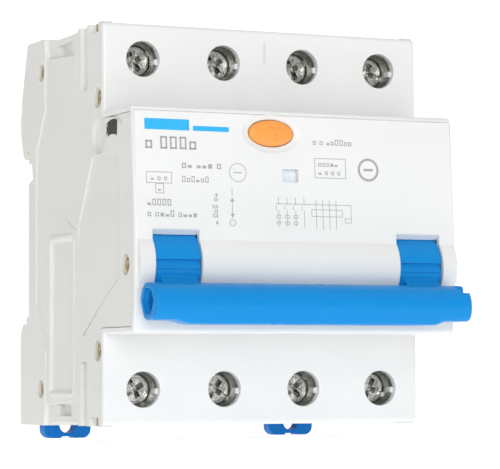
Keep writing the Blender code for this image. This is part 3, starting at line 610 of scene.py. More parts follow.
def cover_mesh():
    """The front cover with a fine seam, window lips, the button's dish and softly rounded sides."""
    seam_z = NOSE_HALF - SEAM_INSET
    seam_low = (-FACE_HALF - 1.0, NOSE_TOP_Y - 1.0, seam_z - SEAM / 2)
    cutters = [block(seam_low, (FACE_HALF + 1.0, NOSE_TOP_Y + SEAM, seam_z + SEAM / 2))]
    for side in (-1, 1):
        for level in (-1, 1):
            ends = sorted((side * (CHEEK_INNER - 0.05), side * (FACE_HALF + 1.0)))
            edges = sorted((level * (SHOULDER_EDGE_Z - SKIN), level * (CHEEK_EDGE_Z + 1.0)))
            low = (ends[0], SHOULDER_Y + SKIN, edges[0])
            cutters.append(block(low, (ends[1], PARTING_Y + 1.0, edges[1])))
    rounded_cover = round_edges(cad_mesh("front_cover"), COVER_EDGE_R, on_cover_rim)
    filled = combine(rounded_cover, window_lips() + [dish_ring()], "UNION")
    return combine(filled, cutters)


# ---------------------------------------------------------------- side cheeks

# Outlines in the side view, each corner along Y and Z, with a radius where it is round

# Edge behind the parting, from the top over the rail recess to the bottom
REAR_EDGE = [
    (PARTING_Y, TROUGH_Z),
    (-16.0, TROUGH_Z),
    (-9.0, 41.5),
    (0.8, 41.5, 0.8),
    (4.5, 29.7, 3.0),
    (5.3, 24.5, 3.0),
    (4.8, 20.5),
    (3.4, 17.2),
    (2.4, 16.3),
    (1.4, 16.3),
    (1.4, 17.9),
    (-0.2, 17.9),
    (-0.2, 15.2),
    (-2.1, 15.0),
    (-2.6, 11.7),
    (0.0, 10.8),
    (0.0, -15.8),
    (-0.2, -15.8),
    (-0.2, -17.9),
    (1.4, -18.2),
    (1.4, -19.7),
    (3.4, -19.7),
    (4.7, -21.0),
    (5.3, -23.0),
    (5.3, -41.5, 0.8),
    (-9.0, -41.5),
    (-16.0, -TROUGH_Z),
    (PARTING_Y, -TROUGH_Z),
]

# Fronts of the raised rear zone and of the middle zone, and two far corners that close them
CLAW_LINE = [
    (-10.3, 45.0),
    (-10.2, 36.6),
    (-10.1, 26.2),
    (-4.7, 17.6),
    (-4.6, 14.6),
    (-4.6, -16.0),
    (-10.4, -25.4),
    (-10.3, -35.0),
    (-10.3, -45.0),
]
FRONT_LINE = [
    (-27.4, 45.0),
    (-27.2, 8.4),
    (-23.4, 6.2),
    (-22.4, 4.6),
    (-22.6, 2.2),
    (-25.5, 0.2),
    (-28.2, -0.6),
    (-28.2, -45.0),
]
FAR_CORNERS = [(-80.0, -45.0), (-80.0, 45.0)]

# Recesses near the top edge, repeated upside down near the bottom edge
END_ZONE = [(-9.2, 46.0), (-10.8, 37.2), (-27.2, 36.2), (-27.2, 46.0)]
END_ZONE_DEPTH = 0.6
POCKET = rectangle(-24.2, -16.4, 36.9, 39.3)
POCKET_DEPTH = 1.9
NOTCH = rectangle(-41.1, -36.3, 39.3, 44.0)
NOTCH_DEPTH = 0.9
LATCH_SIDES = (-40.9, -38.6)
LATCH_FOOT = 39.4
GROOVE = [(-31.0, -1.1), (-31.0, 2.0), (-38.0, 2.0), (-34.9, 0.0)]
GROOVE_ENDS = (28.1, 45.0)

# Wedge-shaped panel in front: its corners with their depths, and the fine groove along it
PANEL = [
    (-37.4, 13.9, 0.50),
    (-51.0, 13.7, 0.55),
    (-52.1, 12.6, 0.55),
    (-52.1, -11.3, 0.40),
    (-43.4, -15.7, 0.25),
    (-31.9, -22.6, -0.03),
    (-30.3, -7.0, -0.03),
    (-29.3, 0.0, 0.30),
    (-33.3, 6.8, 0.50),
]
PANEL_MIDDLE = (-43.0, 0.0, 0.40)
PANEL_LINE = [(-52.6, 12.0), (-52.6, -11.5), (-43.5, -16.1), (-32.2, -22.9)]
PANEL_LINE_BACK = [(-32.0, -22.5), (-43.2, -15.6), (-51.9, -11.1), (-51.9, 12.0)]
PANEL_LINE_DEPTH = 0.45

# Label field
LABEL_FRAME = [(-27.6, -1.2, 1.6), (-11.9, -1.2, 1.6), (-11.9, -35.2, 1.6), (-27.6, -35.2, 1.6)]
LABEL_MIDDLE = (-19.6, -18.2)
LABEL_FLOOR = [(-26.0, -2.8), (-13.6, -2.8), (-13.6, -33.8), (-26.0, -33.8)]
LABEL_DEPTH = 0.75
LABEL_SLOPE = 0.7

# Coupling window: a curved slot with a round dish behind it and an engraved arc above it
DISH_CENTRE = (-41.4, 18.0)
DISH_R = 3.9
DISH_DEPTH = 0.9
ARC_CENTRE = (-48.0, 12.0)
ARC_SWEEP = (math.radians(128.0), math.radians(84.0))
ARC_RADII = (9.9, 9.1)
ARC_DEPTH = 0.3
SLOT_CENTRE = (-48.6, 10.0)
SLOT_TOP = (10.7, math.radians(107.0), math.radians(70.0))
SLOT_FOOT = (7.6, math.radians(66.0), math.radians(112.0))
SLOT_CUT = 4.0
LINING_LOW = (-54.8, 15.2)
LINING_HIGH = (-44.2, 20.8)
LINING_ROOM = 0.2


def mirrored(outline, level):
    """An outline as it is at the top (level 1), or upside down at the bottom (level -1)."""
    return [(y, level * z) for y, z in outline]


def span(side, low, high):
    """The two X ends of something on one side, in rising order."""
    return sorted((side * low, side * high))


def cheek_outline():
    """Outer edge of a side cheek: the body's edge behind, a hair inside the cover's skin in front."""
    inset = SKIN + CHEEK_GAP
    front = [
        (PARTING_Y, -CHEEK_EDGE_Z),
        (SHOULDER_Y + inset, -CHEEK_EDGE_Z),
        (SHOULDER_Y + inset, -NOSE_HALF + inset),
        (NOSE_FOOT_Y + inset, -NOSE_HALF + inset, EDGE_R),
        (NOSE_Y + inset, BEND_LOW_Z),
        (NOSE_Y + inset, BEND_HIGH_Z),
        (NOSE_TOP_Y + inset, NOSE_HALF - inset, EDGE_R),
        (SHOULDER_Y + inset, NOSE_HALF - inset),
        (SHOULDER_Y + inset, CHEEK_EDGE_Z),
        (PARTING_Y, CHEEK_EDGE_Z),
    ]
    return REAR_EDGE + front


def recess(side, outline, surface, depth, slope=0.0):
    """Cutter for a recess whose walls lean outwards by the slope, below a surface."""
    middle_y = sum(corner[0] for corner in outline) / len(outline)
    middle_z = sum(corner[1] for corner in outline) / len(outline)
    sections = []
    for rise, spread in ((PAST, slope * (1.0 + PAST / depth)), (0.0, slope), (-depth, 0.0)):
        loop = []
        for y, z in rounded(outline):
            reach_y = y + math.copysign(spread, y - middle_y)
            reach_z = z + math.copysign(spread, z - middle_z)
            loop.append((side * (surface + rise), reach_y, reach_z))
        sections.append(loop)
    return loft(sections)


def sloped_panel(side):
    """Cutter for the wedge-shaped panel, whose floor rises to the surface at its lower rear corner."""
    bm = bmesh.new()
    outer = [bm.verts.new((side * (FRONT_HALF + PAST), y, z)) for y, z, depth in PANEL]
    inner = [bm.verts.new((side * (FRONT_HALF - depth), y, z)) for y, z, depth in PANEL]
    middle_y, middle_z, middle_depth = PANEL_MIDDLE
    centre = bm.verts.new((side * (FRONT_HALF - middle_depth), middle_y, middle_z))
    for index in range(len(PANEL)):
        after = (index + 1) % len(PANEL)
        bm.faces.new((outer[index], outer[after], inner[after], inner[index]))
        bm.faces.new((inner[index], inner[after], centre))
    bm.faces.new(outer)
    return finish_mesh(bm)


def label_frame(side):
    """Low frame round the label field, its edge softened by the last, smaller section."""
    sections = []
    for shrink, height in ((0.0, -0.4), (0.0, 0.15), (0.15, FRAME_RISE)):
        corners = []
        for y, z, radius in LABEL_FRAME:
            moved_y = y - math.copysign(shrink, y - LABEL_MIDDLE[0])
            moved_z = z - math.copysign(shrink, z - LABEL_MIDDLE[1])
            corners.append((moved_y, moved_z, radius))
        sections.append([(side * (FRONT_HALF + height), y, z) for y, z in rounded(corners)])
    return loft(sections)


def groove_cutter(side, level):
    """Wedge groove by the parting: a steep rear wall and a floor that rises to the surface."""
    ends = sorted(level * z for z in GROOVE_ENDS)
    return loft([[(side * (FRONT_HALF + x), y, z) for y, x in GROOVE] for z in ends])


def end_cutters(side, level):
    """Recessed zone, pocket, latch notch and wedge groove at the top or bottom of a cheek."""
    return [
        recess(side, mirrored(END_ZONE, level), MIDDLE_HALF, END_ZONE_DEPTH, 0.2),
        recess(side, mirrored(POCKET, level), MIDDLE_HALF, POCKET_DEPTH),
        recess(side, mirrored(NOTCH, level), FRONT_HALF, NOTCH_DEPTH),
        groove_cutter(side, level),
    ]


def window_cutters(side):
    """Coupling window, the dish and engraved arc beside it, and the room for its dark lining."""
    engraved = arc(ARC_CENTRE, ARC_RADII[0], *ARC_SWEEP, 12)
    engraved += arc(ARC_CENTRE, ARC_RADII[1], *ARC_SWEEP[::-1], 12)
    slot = arc(SLOT_CENTRE, *SLOT_TOP, 6) + arc(SLOT_CENTRE, *SLOT_FOOT, 6)
    low_x, high_x = span(side, CHEEK_INNER - 1.0, FRONT_HALF - 0.5)
    low = (low_x, LINING_LOW[0] - LINING_ROOM, LINING_LOW[1] - LINING_ROOM)
    high = (high_x, LINING_HIGH[0] + LINING_ROOM, LINING_HIGH[1] + LINING_ROOM)
    return [
        recess(side, circle(DISH_CENTRE, DISH_R, 40), FRONT_HALF, DISH_DEPTH),
        recess(side, engraved, FRONT_HALF, ARC_DEPTH),
        recess(side, slot, FRONT_HALF, SLOT_CUT),
        block(low, high),
    ]


def rivet_cutters(side):
    """Counterbores for the pin heads, and the holes for the pins."""
    cutters = []
    for node in RIVET_NODES:
        centre = middle(node)
        seat = circle((centre.y, centre.z), REAR_SINK_R if "rear" in node else SINK_R, 40)
        cutters.append(prism(seat, *span(side, SINK_FLOOR, CLAW_HALF + PAST)))
        through = circle((centre.y, centre.z), PIN_R + 0.2, 24)
        cutters.append(prism(through, *span(side, CHEEK_INNER - 1.0, CLAW_HALF)))
    return cutters


def cheek_mesh(side):
    """One side cheek, from its outer edge, zones and label frame."""
    cutters = []
    for outline, half in ((CLAW_LINE, MIDDLE_HALF), (FRONT_LINE, FRONT_HALF)):
        cutters.append(prism(outline + FAR_CORNERS, *span(side, half, CLAW_HALF + PAST)))
    cutters += [sloped_panel(side), recess(side, PANEL_LINE + PANEL_LINE_BACK, FRONT_HALF, PANEL_LINE_DEPTH)]
    cutters += end_cutters(side, 1) + end_cutters(side, -1) + window_cutters(side) + rivet_cutters(side)
    plate = prism(cheek_outline(), *span(side, CHEEK_INNER, CLAW_HALF))
    framed = combine(combine(plate, cutters), [label_frame(side)], "UNION")
    field = recess(side, LABEL_FLOOR, FRONT_HALF + FRAME_RISE, LABEL_DEPTH, LABEL_SLOPE)
    return combine(framed, [field])


def lining_mesh(side):
    """Dark plate close behind the coupling window."""
    low_x, high_x = span(side, CHEEK_INNER + 0.1, FRONT_HALF - 0.6)
    return block((low_x, *LINING_LOW), (high_x, *LINING_HIGH))


def latch_mesh(side, level):
    """Latch nose at the floor of a cheek's notch."""
    low_z, high_z = sorted((level * LATCH_FOOT, level * (CHEEK_EDGE_Z - 0.15)))
    low_x, high_x = span(side, FRONT_HALF - 0.85, FRONT_HALF - 0.55)
    return block((low_x, LATCH_SIDES[0], low_z), (high_x, LATCH_SIDES[1], high_z))


def build_casing(looks):
    """Cover and side cheeks. The rear housing stays the CAD node."""
    white = looks["housing_white"]
    add_piece("cover_shell", cover_mesh(), looks["cover_white"], "housing", ["front_cover"], limit=30.0)
    for name, side in (("left", -1), ("right", 1)):
        add_piece(f"{name}_window_lining", lining_mesh(side), looks["inner_black"], "housing", limit=35.0)
        cheek = cheek_mesh(side)
        add_piece(f"{name}_side_cheek", cheek, white, "housing", [f"{name}_side_plate"], limit=30.0)
        for edge, level in (("top", 1), ("bottom", -1)):
            latch = latch_mesh(side, level)
            add_piece(f"{name}_latch_{edge}", latch, looks["latch_brown"], "housing", limit=35.0)


def pin_profile(radius, head_r, face):
    """Half section of a pin whose two dimpled heads reach out to the given X."""
    end = [(head_r * 0.20, 0.22), (head_r * 0.40, 0.06), (head_r * 0.64, 0.0), (head_r * 0.88, 0.14)]
    end += [(head_r, 0.30), (head_r, RIVET_HEAD_T), (radius, RIVET_HEAD_T)]
    return [(r, x - face) for r, x in end] + [(r, face - x) for r, x in end[::-1]]


def build_rivets(looks):
    """The four rivets and the riveted handle axle."""
    for node in RIVET_NODES:
        low, high = box_mm(node)
        centre = middle(node)
        face = REAR_RIVET_FACE if "rear" in node else RIVET_FACE
        pin = turned(pin_profile(PIN_R, (high.z - low.z) / 2, face), (centre.y, centre.z), "X", 40)
        add_piece(f"{node}_pin", pin, looks["brass"], "housing", [node], tuple(centre), limit=50.0)


# ---------------------------------------------------------------- terminals


# Cross recess of a screw: depth below the head's face, half length and half width of a wing
CROSS = [(-0.5, 2.45, 0.62), (1.1, 2.0, 0.50), (2.0, 1.0, 0.32)]
TICK_FROM = 1.2
TICK_TO = 2.3
TICK_HALF = 0.12
TICK_DEPTH = 0.42
SCREW_SIDES = 56


def screw_mesh(y):
    """Terminal screw about the Y axis: ringed head with a slot, a tapered cross and four ticks."""
    head_t = SCREW_HEAD_T
    profile = [
        (SCREW_HEAD_R - 0.85, y + 0.22),
        (SCREW_HEAD_R - 0.70, y + 0.04),
        (SCREW_HEAD_R - 0.35, y),
        (SCREW_HEAD_R - 0.10, y + 0.10),
        (SCREW_HEAD_R, y + 0.35),
        (SCREW_HEAD_R, y + head_t - 0.2),
        (SCREW_HEAD_R - 0.2, y + head_t),
        (SCREW_SHANK_R, y + head_t),
        (SCREW_SHANK_R, y + head_t + SCREW_LENGTH - 0.8),
        (SCREW_SHANK_R - 0.7, y + head_t + SCREW_LENGTH),
    ]
    reach = SCREW_HEAD_R + 1.0
    cutters = [block((-reach, y - 1.0, -SLOT_HALF), (reach, y + SLOT_DEPTH, SLOT_HALF))]
    for turn in (0.0, math.pi / 2):
        wing = []
        for depth, length, half in CROSS:
            outline = rectangle(-length, length, -half, half)
            wing.append([place(u, v, y + depth, "Y") for u, v in outline])
        mesh = loft(wing)
        mesh.transform(Matrix.Rotation(turn, 4, "Y"))
        cutters.append(mesh)
    for quarter in range(4):
        tick = block((TICK_FROM, y - 1.0, -TICK_HALF), (TICK_TO, y + TICK_DEPTH, TICK_HALF))
        tick.transform(Matrix.Rotation(math.pi / 4 + quarter * math.pi / 2, 4, "Y"))
        cutters.append(tick)
    return combine(turned(profile, (0.0, 0.0), "Y", SCREW_SIDES), cutters)


def collar_mesh(x, z):
    """Stepped metal sleeve round the screw head."""
    outer_r = SCREW_HOLE_R - 0.02
    inner_r = SCREW_HEAD_R + COLLAR_GAP
    profile = [
        (outer_r, COLLAR_FRONT_Y),
        (outer_r - 0.12, COLLAR_FRONT_Y + 0.15),
        (outer_r - 0.12, COLLAR_FRONT_Y + 0.9),
        (outer_r - 0.22, COLLAR_FRONT_Y + 1.1),
        (outer_r - 0.22, COLLAR_FRONT_Y + 2.2),
        (inner_r, COLLAR_FRONT_Y + 2.5),
        (inner_r, COLLAR_BACK_Y),
        (outer_r, COLLAR_BACK_Y),
    ]
    sections = []
    for radius, along in profile:
        sections.append([place(u, v, along, "Y") for u, v in circle((x, z), radius, SCREW_SIDES)])
    return tube(sections)


def rib_mesh(x, z):
    """Small moulded rib on the right of a screw hole's wall."""
    far_x = x + SCREW_HOLE_R - 0.05
    near_x = far_x - RIB_T
    low_z, high_z = z - 1.0, z + 0.2
    outline = [(near_x, low_z, 0.2), (far_x, low_z), (far_x, high_z), (near_x, high_z, 0.2)]
    return prism(outline, COLLAR_FRONT_Y - 0.1, COLLAR_FRONT_Y + 2.0, "Y")


def build_terminal(looks, label):
    """One screw with the sleeve round it and the rib beside it."""
    node = f"terminal_screw_{label}"
    side, pole = label.split("_")
    low, high = box_mm(node)
    x, z = (low.x + high.x) / 2, (low.z + high.z) / 2
    mesh = screw_mesh(low.y)
    mesh.transform(Matrix.Rotation(math.radians(SCREW_TURNS[side][int(pole) - 1]), 4, "Y"))
    mesh.transform(Matrix.Translation((x, 0.0, z)))
    add_piece(f"screw_{label}", mesh, looks["screw_zinc"], node, [node], (x, low.y, z), limit=35.0)
    add_piece(f"terminal_collar_{label}", collar_mesh(x, z), looks["collar_steel"], "housing", limit=35.0)
    add_piece(f"terminal_rib_{label}", rib_mesh(x, z), looks["cover_white"], "housing", limit=35.0)


def build_terminals(looks):
    """The screws of both rows."""
    for side in ("line", "load"):
        for pole in range(1, POLES + 1):
            build_terminal(looks, f"{side}_{pole}")


# ---------------------------------------------------------------- handle and button


def bar_drop(x):
    """How far the bar's underside hangs lower at x: nothing at its ends, all along its middle."""
    left = min(1.0, max(0.0, (x - BAR_LOW.x - SAG_LEFT) / SAG_LEFT_RUN))
    right = min(1.0, max(0.0, (BAR_HIGH.x - SAG_RIGHT - x) / SAG_RIGHT_RUN))
    share = min(left, right)
    return BAR_SAG * share * share * (3.0 - 2.0 * share)


def bar_section(x, shrink=0.0):
    """Loop of the bar's cross-section at x, moved inwards by the shrink.

    The shape's points are distances behind the bar's front and below its top.
    """
    drop = bar_drop(x) - BAR_SAG
    front, top = BAR_LOW.y, BAR_HIGH.z
    foot = top - BAR_LOW.z + drop
    shape = [
        (6.2, 0.0),
        (4.2, 0.0),
        (2.7, 0.30),
        (1.3, 1.10),
        (0.35, 2.55),
        (0.0, 4.3),
        (0.25, 5.9),
        (0.8, foot - 0.45),
        (1.7, foot),
        (4.0, foot),
        (6.0, foot),
        (7.0, foot - 0.7),
        (7.9, 4.8),
        (8.5, 2.9),
        (7.6, 1.0),
    ]
    centre = Vector((front + 4.2, top - 4.0))
    loop = []
    for depth, down in smooth_loop(shape):
        point = Vector((front + depth, top - down))
        point += (centre - point).normalized() * shrink
        loop.append((x, point.x, point.y))
    return loop


def socket_cutters():
    """Stepped socket in the bar's left end: two hexagons and a deep square."""
    centre = (BAR_LOW.y + 4.4, BAR_LOW.z + 4.5)
    cutters = []
    for radius, corners, depth in ((2.95, 6, 0.7), (2.35, 6, 2.2), (1.9, 4, 9.0)):
        cutters.append(prism(circle(centre, radius, corners), BAR_LOW.x - 1.0, BAR_LOW.x + depth))
    return cutters


def notch_cutter():
    """Notch in the top of the bar's right end."""
    x, z = BAR_HIGH.x, BAR_HIGH.z
    outline = [(x - 3.3, z + 0.6), (x + 1.0, z + 0.6), (x + 1.0, z - 1.55)]
    outline += [(x - 1.5, z - 1.5), (x - 1.9, z - 1.35)]
    return prism(outline, BAR_LOW.y - 5.0, BAR_LOW.y + 4.1, "Y")


def bar_mesh():
    """Handle bar: smooth section, rounded ends, stepped socket at the left, notch at the right."""
    ends = [(0.0, 0.55), (0.12, 0.25), (0.32, 0.08), (BAR_ROUND, 0.0)]
    run = BAR_HIGH.x - BAR_LOW.x - 2 * BAR_ROUND
    sections = [bar_section(BAR_LOW.x + inset, shrink) for inset, shrink in ends]
    sections += [bar_section(BAR_LOW.x + BAR_ROUND + run * step / BAR_STEPS) for step in range(1, BAR_STEPS)]
    sections += [bar_section(BAR_HIGH.x - inset, shrink) for inset, shrink in ends[::-1]]
    return combine(loft(sections), socket_cutters() + [notch_cutter()])


def drum_point(radius, degrees):
    """Point of a toggle in the side view, the angle counted upwards from straight ahead."""
    angle = math.radians(degrees)
    return (AXLE.y - radius * math.cos(angle), AXLE.z + radius * math.sin(angle))


def toggle_mesh(x):
    """Toggle: a drum with a stepped groove across its front, and the lever that carries the bar."""
    above = [(DRUM_R, angle) for angle in range(207, 9, -6)]
    groove = [(DRUM_R, 7.3), (DRUM_R - 0.7, 7.0), (DRUM_R - 0.65, 4.0), (DRUM_R - 0.3, -4.0)]
    groove += [(DRUM_R - 0.12, -8.0), (DRUM_R - 0.35, -8.7), (DRUM_R - 0.2, -11.0), (DRUM_R, -14.0)]
    below = [(DRUM_R, angle) for angle in range(-18, -150, -6)]
    profile = [drum_point(radius, degrees) for radius, degrees in above + groove + below]
    drum = prism(profile, x - DRUM_HALF, x + DRUM_HALF)
    along = Vector((-math.cos(LEVER_ANGLE), -math.sin(LEVER_ANGLE)))
    across = Vector((-math.sin(LEVER_ANGLE), math.cos(LEVER_ANGLE)))
    centre = Vector((AXLE.y, AXLE.z))
    corners = [(2.0, LEVER_HALF), (LEVER_REACH, LEVER_HALF), (LEVER_REACH, -LEVER_HALF), (2.0, -LEVER_HALF)]
    lever = [tuple(centre + along * reach + across * rise) for reach, rise in corners]
    arm = prism(lever, x - LEVER_SIDE, x + LEVER_SIDE)
    joined = combine(drum, [arm], "UNION")
    bore = prism(circle((AXLE.y, AXLE.z), AXLE_HOLE_R, 32), x - DRUM_HALF - 1.0, x + DRUM_HALF + 1.0)
    return combine(joined, [bore])


def build_handle(looks):
    """The bar and the two toggles that it joins."""
    look = looks["handle_blue"]
    add_piece("handle_grip", bar_mesh(), look, "handle", ["handle_bar"], limit=38.0)
    for side in ("left", "right"):
        toggle = toggle_mesh(middle(f"toggle_{side}").x)
        add_piece(f"toggle_drum_{side}", toggle, look, "handle", [f"toggle_{side}"], limit=30.0)


def button_mesh():
    """Test button: oval with a crowned front, a flange behind it, and a shallow T."""
    half_x, half_z = BUTTON_HALF_X, BUTTON_HALF_Z
    flange = FLANGE_FRONT_Y - BUTTON_FRONT_Y
    rings = [
        (0.06, 0.10, 0.0),
        (1.6, 1.0, 0.01),
        (3.0, 1.7, 0.04),
        (half_x - 1.0, half_z - 0.66, 0.12),
        (half_x - 0.5, half_z - 0.33, 0.24),
        (half_x - 0.14, half_z - 0.1, 0.46),
        (half_x, half_z, 0.75),
        (half_x, half_z, flange),
        (half_x + 1.0, half_z + 0.6, flange),
        (half_x + 1.0, half_z + 0.6, flange + FLANGE_T),
        (1.6, 1.4, flange + FLANGE_T),
        (1.6, 1.4, BUTTON_HIGH.y - BUTTON_FRONT_Y),
    ]
    sections = []
    for half_u, half_v, depth in rings:
        outline = oval((BUTTON.x, BUTTON.z), half_u, half_v)
        sections.append([place(u, v, BUTTON_FRONT_Y + depth, "Y") for u, v in outline])
    x, z = BUTTON.x + 0.95, BUTTON.z
    near_y, floor_y = BUTTON_FRONT_Y - 1.0, BUTTON_FRONT_Y + BUTTON_T_DEPTH
    top = block((x - 1.7, near_y, z + 1.0), (x + 1.7, floor_y, z + 1.5))
    stem = block((x - 0.26, near_y, z - 1.6), (x + 0.26, floor_y, z + 1.2))
    return combine(loft(sections), [combine(top, [stem], "UNION")])


def flag_mesh():
    """Trip flag: its plate thickened to lie close behind the cover, sloped like the cover."""
    low, high = box_mm("trip_flag")
    half = FLAG_PLATE_HALF
    outline = [(face_y(z) + SKIN + 0.18, z) for z in (FLAG_LOW_Z, high.z)]
    outline += [(low.y + 0.4, high.z), (low.y + 0.4, FLAG_LOW_Z)]
    pad = prism(outline, FLAG_X - half, FLAG_X + half)
    return combine(cad_mesh("trip_flag"), [pad], "UNION")


def build_button(looks):
    """The test button and the trip flag."""
    orange = looks["button_orange"]
    crown = button_mesh()
    add_piece("test_button_crown", crown, orange, "test_button", ["test_button"], tuple(BUTTON), limit=35.0)
    add_piece("trip_flag_plate", flag_mesh(), looks["flag_white"], "trip_flag", ["trip_flag"], limit=35.0)


def build_clips(looks):
    """The two rail clips, with softened edges."""
    for side in ("left", "right"):
        node = f"rail_clip_{side}"
        add_piece(f"{node}_slider", cad_mesh(node), looks["clip_blue"], node, [node], limit=30.0)


# ---------------------------------------------------------------- print

LINE = 0.14
WIRE = 0.12
PRINT_LEFT = -FACE_HALF + 2.3

# Lines of stand-in text: left end, foot, width and height
TEXT_LINES = [
    (PRINT_LEFT + 0.3, 13.9, 11.6, 2.5),
    (PRINT_LEFT + 8.0, 10.2, 8.9, 1.5),
    (PRINT_LEFT + 8.0, 7.4, 6.0, 1.2),
    (PRINT_LEFT + 1.3, 7.6, 3.6, 1.1),
    (PRINT_LEFT + 2.8, 5.5, 0.7, 0.9),
    (PRINT_LEFT + 0.4, 2.6, 5.5, 1.3),
    (PRINT_LEFT + 0.4, 0.4, 12.0, 1.3),
]
UPRIGHT_LINE = (-19.0, -0.9, 6.4, 1.1)
RIGHT_LINES = [(3.6, 15.8, 9.2, 1.2), (4.7, 11.4, 5.2, 1.1), (4.7, 9.7, 5.2, 1.1)]

# Printed frames, bars and rings: left, foot, width and height, or centre, radius and line
FRAMES = [(PRINT_LEFT + 0.3, 7.0, 5.5, 2.3), (PRINT_LEFT + 2.2, 5.0, 1.8, 2.0), (3.8, 9.0, 7.1, 4.1)]
GREY_BARS = [(-14.2, 9.5, 1.8, 0.2), (-14.76, 4.9, LINE, 1.6), (14.9, 10.75, 2.2, 0.5)]
BLUE_BARS = [(PRINT_LEFT + 0.2, 17.7, 9.6, 2.2), (PRINT_LEFT + 10.6, 17.7, 7.8, 1.0)]
RINGS = [((-13.3, 9.6), 1.9, LINE), ((-14.7, -0.5), 0.7, LINE), ((16.0, 11.0), 2.4, 0.5)]
ARROW = (-14.7, 0.4, 4.6)
SKETCH_CORNER = (-4.6, -1.1)


def decal(outline):
    """A thin printed area on the nose's front, from an outline of (x, z) points."""
    bm = bmesh.new()
    front = [bm.verts.new((x, face_y(z) - INK_T, z)) for x, z in outline]
    back = [bm.verts.new((x, face_y(z) + INK_T, z)) for x, z in outline]
    bm.faces.new(front)
    bm.faces.new(back[::-1])
    for index in range(len(outline)):
        after = (index + 1) % len(outline)
        bm.faces.new((front[index], front[after], back[after], back[index]))
    return finish_mesh(bm)


def bar_mark(x, z, width, height):
    """A plain printed bar from its lower left corner."""
    return [decal(rectangle(x, x + width, z, z + height))]


def box_mark(x, z, width, height, line=LINE):
    """A printed rectangular frame from its lower left corner."""
    marks = bar_mark(x, z, width, line) + bar_mark(x, z + height - line, width, line)
    for edge_x in (x, x + width - line):
        marks += bar_mark(edge_x, z + line, line, height - 2 * line)
    return marks


def ring_mark(centre, radius, line=LINE, segments=24):
    """A printed ring, as a row of short pieces."""
    marks = []
    for index in range(segments):
        angles = (2 * math.pi * index / segments, 2 * math.pi * (index + 1) / segments)
        outline = arc(centre, radius, *angles, 1) + arc(centre, radius - line, *angles, 1)[::-1]
        marks.append(decal(outline))
    return marks


def arrow_mark(x, low_z, high_z):
    """A printed line with an arrow head at both ends."""
    half, length = 0.45, 0.9
    marks = bar_mark(x - LINE / 2, low_z + 0.8, LINE, high_z - low_z - 1.6)
    marks.append(decal([(x - half, low_z + length), (x + half, low_z + length), (x, low_z)]))
    marks.append(decal([(x - half, high_z - length), (x + half, high_z - length), (x, high_z)]))
    return marks


def glyph(width, height, stroke, draw):
    """Bars of one meaningless mark, measured from its lower left corner: left, low, width, height."""
    level = height * draw.choice((0.65, 0.65, 1.0))
    hollow = [(0.0, 0.0, width, stroke), (0.0, level - stroke, width, stroke)]
    hollow += [(0.0, 0.0, stroke, level), (width - stroke, 0.0, stroke, level)]
    return draw.choice((hollow, hollow, [(0.0, 0.0, width, level * 0.6)]))


def words(x, z, width, height, draw, upright=False):
    """Stand-in for a line of text: a row of hollow and solid little boxes that spell nothing."""
    marks = []
    stroke = height * 0.14
    glyph_width = height * 0.58
    along = 0.0
    while along < width - glyph_width:
        for left, low, bar_width, bar_height in glyph(glyph_width, height, stroke, draw):
            if upright:
                marks += bar_mark(x + height - low - bar_height, z + along + left, bar_height, bar_width)
            else:
                marks += bar_mark(x + along + left, z + low, bar_width, bar_height)
        along += glyph_width + height * draw.choice((0.25, 0.25, 0.25, 0.7))
    return marks


def wiring_marks(x, z):
    """A generic wiring sketch: four poles, three of them with coils, a long ring and a side branch."""
    pole_pitch, branch_pitch = 1.9, 1.5
    marks = []
    for pole in range(POLES):
        line_x = x + pole * pole_pitch
        marks += bar_mark(line_x, z + 4.4, WIRE, 1.6) + bar_mark(line_x - 0.5, z + 3.4, WIRE, 0.9)
        marks += bar_mark(line_x, z, WIRE, 3.4)
        if pole < POLES - 1:
            marks += box_mark(line_x - 0.45, z + 1.7, 1.0, 0.7, WIRE)
            marks += box_mark(line_x - 0.45, z + 0.5, 1.0, 0.6, WIRE)
    marks += bar_mark(x - 0.6, z + 4.6, 17.0, WIRE)
    marks += box_mark(x + 7.4, z + 2.2, 7.0, 1.5, WIRE)
    for branch in range(POLES):
        marks += bar_mark(x + 8.4 + branch * branch_pitch, z - 0.4, WIRE, 6.0)
    marks += box_mark(x + 14.9, z + 1.0, 1.5, 1.0, WIRE) + bar_mark(x + 16.3, z + 1.9, WIRE, 2.7)
    return marks


def build_print(looks):
    """Generic marks in place of the printed text, symbols and names."""
    draw = random.Random(7)
    grey = []
    for line in TEXT_LINES:
        grey += words(*line, draw)
    grey += words(*UPRIGHT_LINE, draw, upright=True)
    for line in RIGHT_LINES:
        grey += words(*line, draw)
    for frame_mark in FRAMES:
        grey += box_mark(*frame_mark)
    for bar in GREY_BARS:
        grey += bar_mark(*bar)
    for ring in RINGS:
        grey += ring_mark(*ring)
    grey += arrow_mark(*ARROW) + wiring_marks(*SKETCH_CORNER)
    add_piece("printed_marks", join_meshes(grey), looks["print_grey"], "housing")
    blue = [mark for bar in BLUE_BARS for mark in bar_mark(*bar)]
    add_piece("printed_band", join_meshes(blue), looks["print_blue"], "housing")


def paint_frame(looks):
    """Give every CAD node that stays the material of its slot."""
    for entry in frame["record"]["subparts"]:
        node = frame["nodes"][entry["node"]]
        node.data.materials.clear()
        node.data.materials.append(looks[entry["material_slot"]])


# ---------------------------------------------------------------- studio

CAMERA_PLACE = (-216.4, -512.9, -29.9)
CAMERA_YAW = 24.47
CAMERA_PITCH = 3.13
CAMERA_ROLL = -0.19
CAMERA_LENS = 179.0
SENSOR_WIDTH = 36.0
FLOOR_HALF = 6000.0
FLOOR_GLOW = 0.54

# Soft lights: place and target in the device's millimetres, edge length and power
LIGHTS = {
    "key": ((-330.0, -900.0, 190.0), (0.0, -30.0, 0.0), 420.0, 3.3),
    "side": ((-290.0, 120.0, 60.0), (-36.0, 0.0, 0.0), 160.0, 0.035),
}

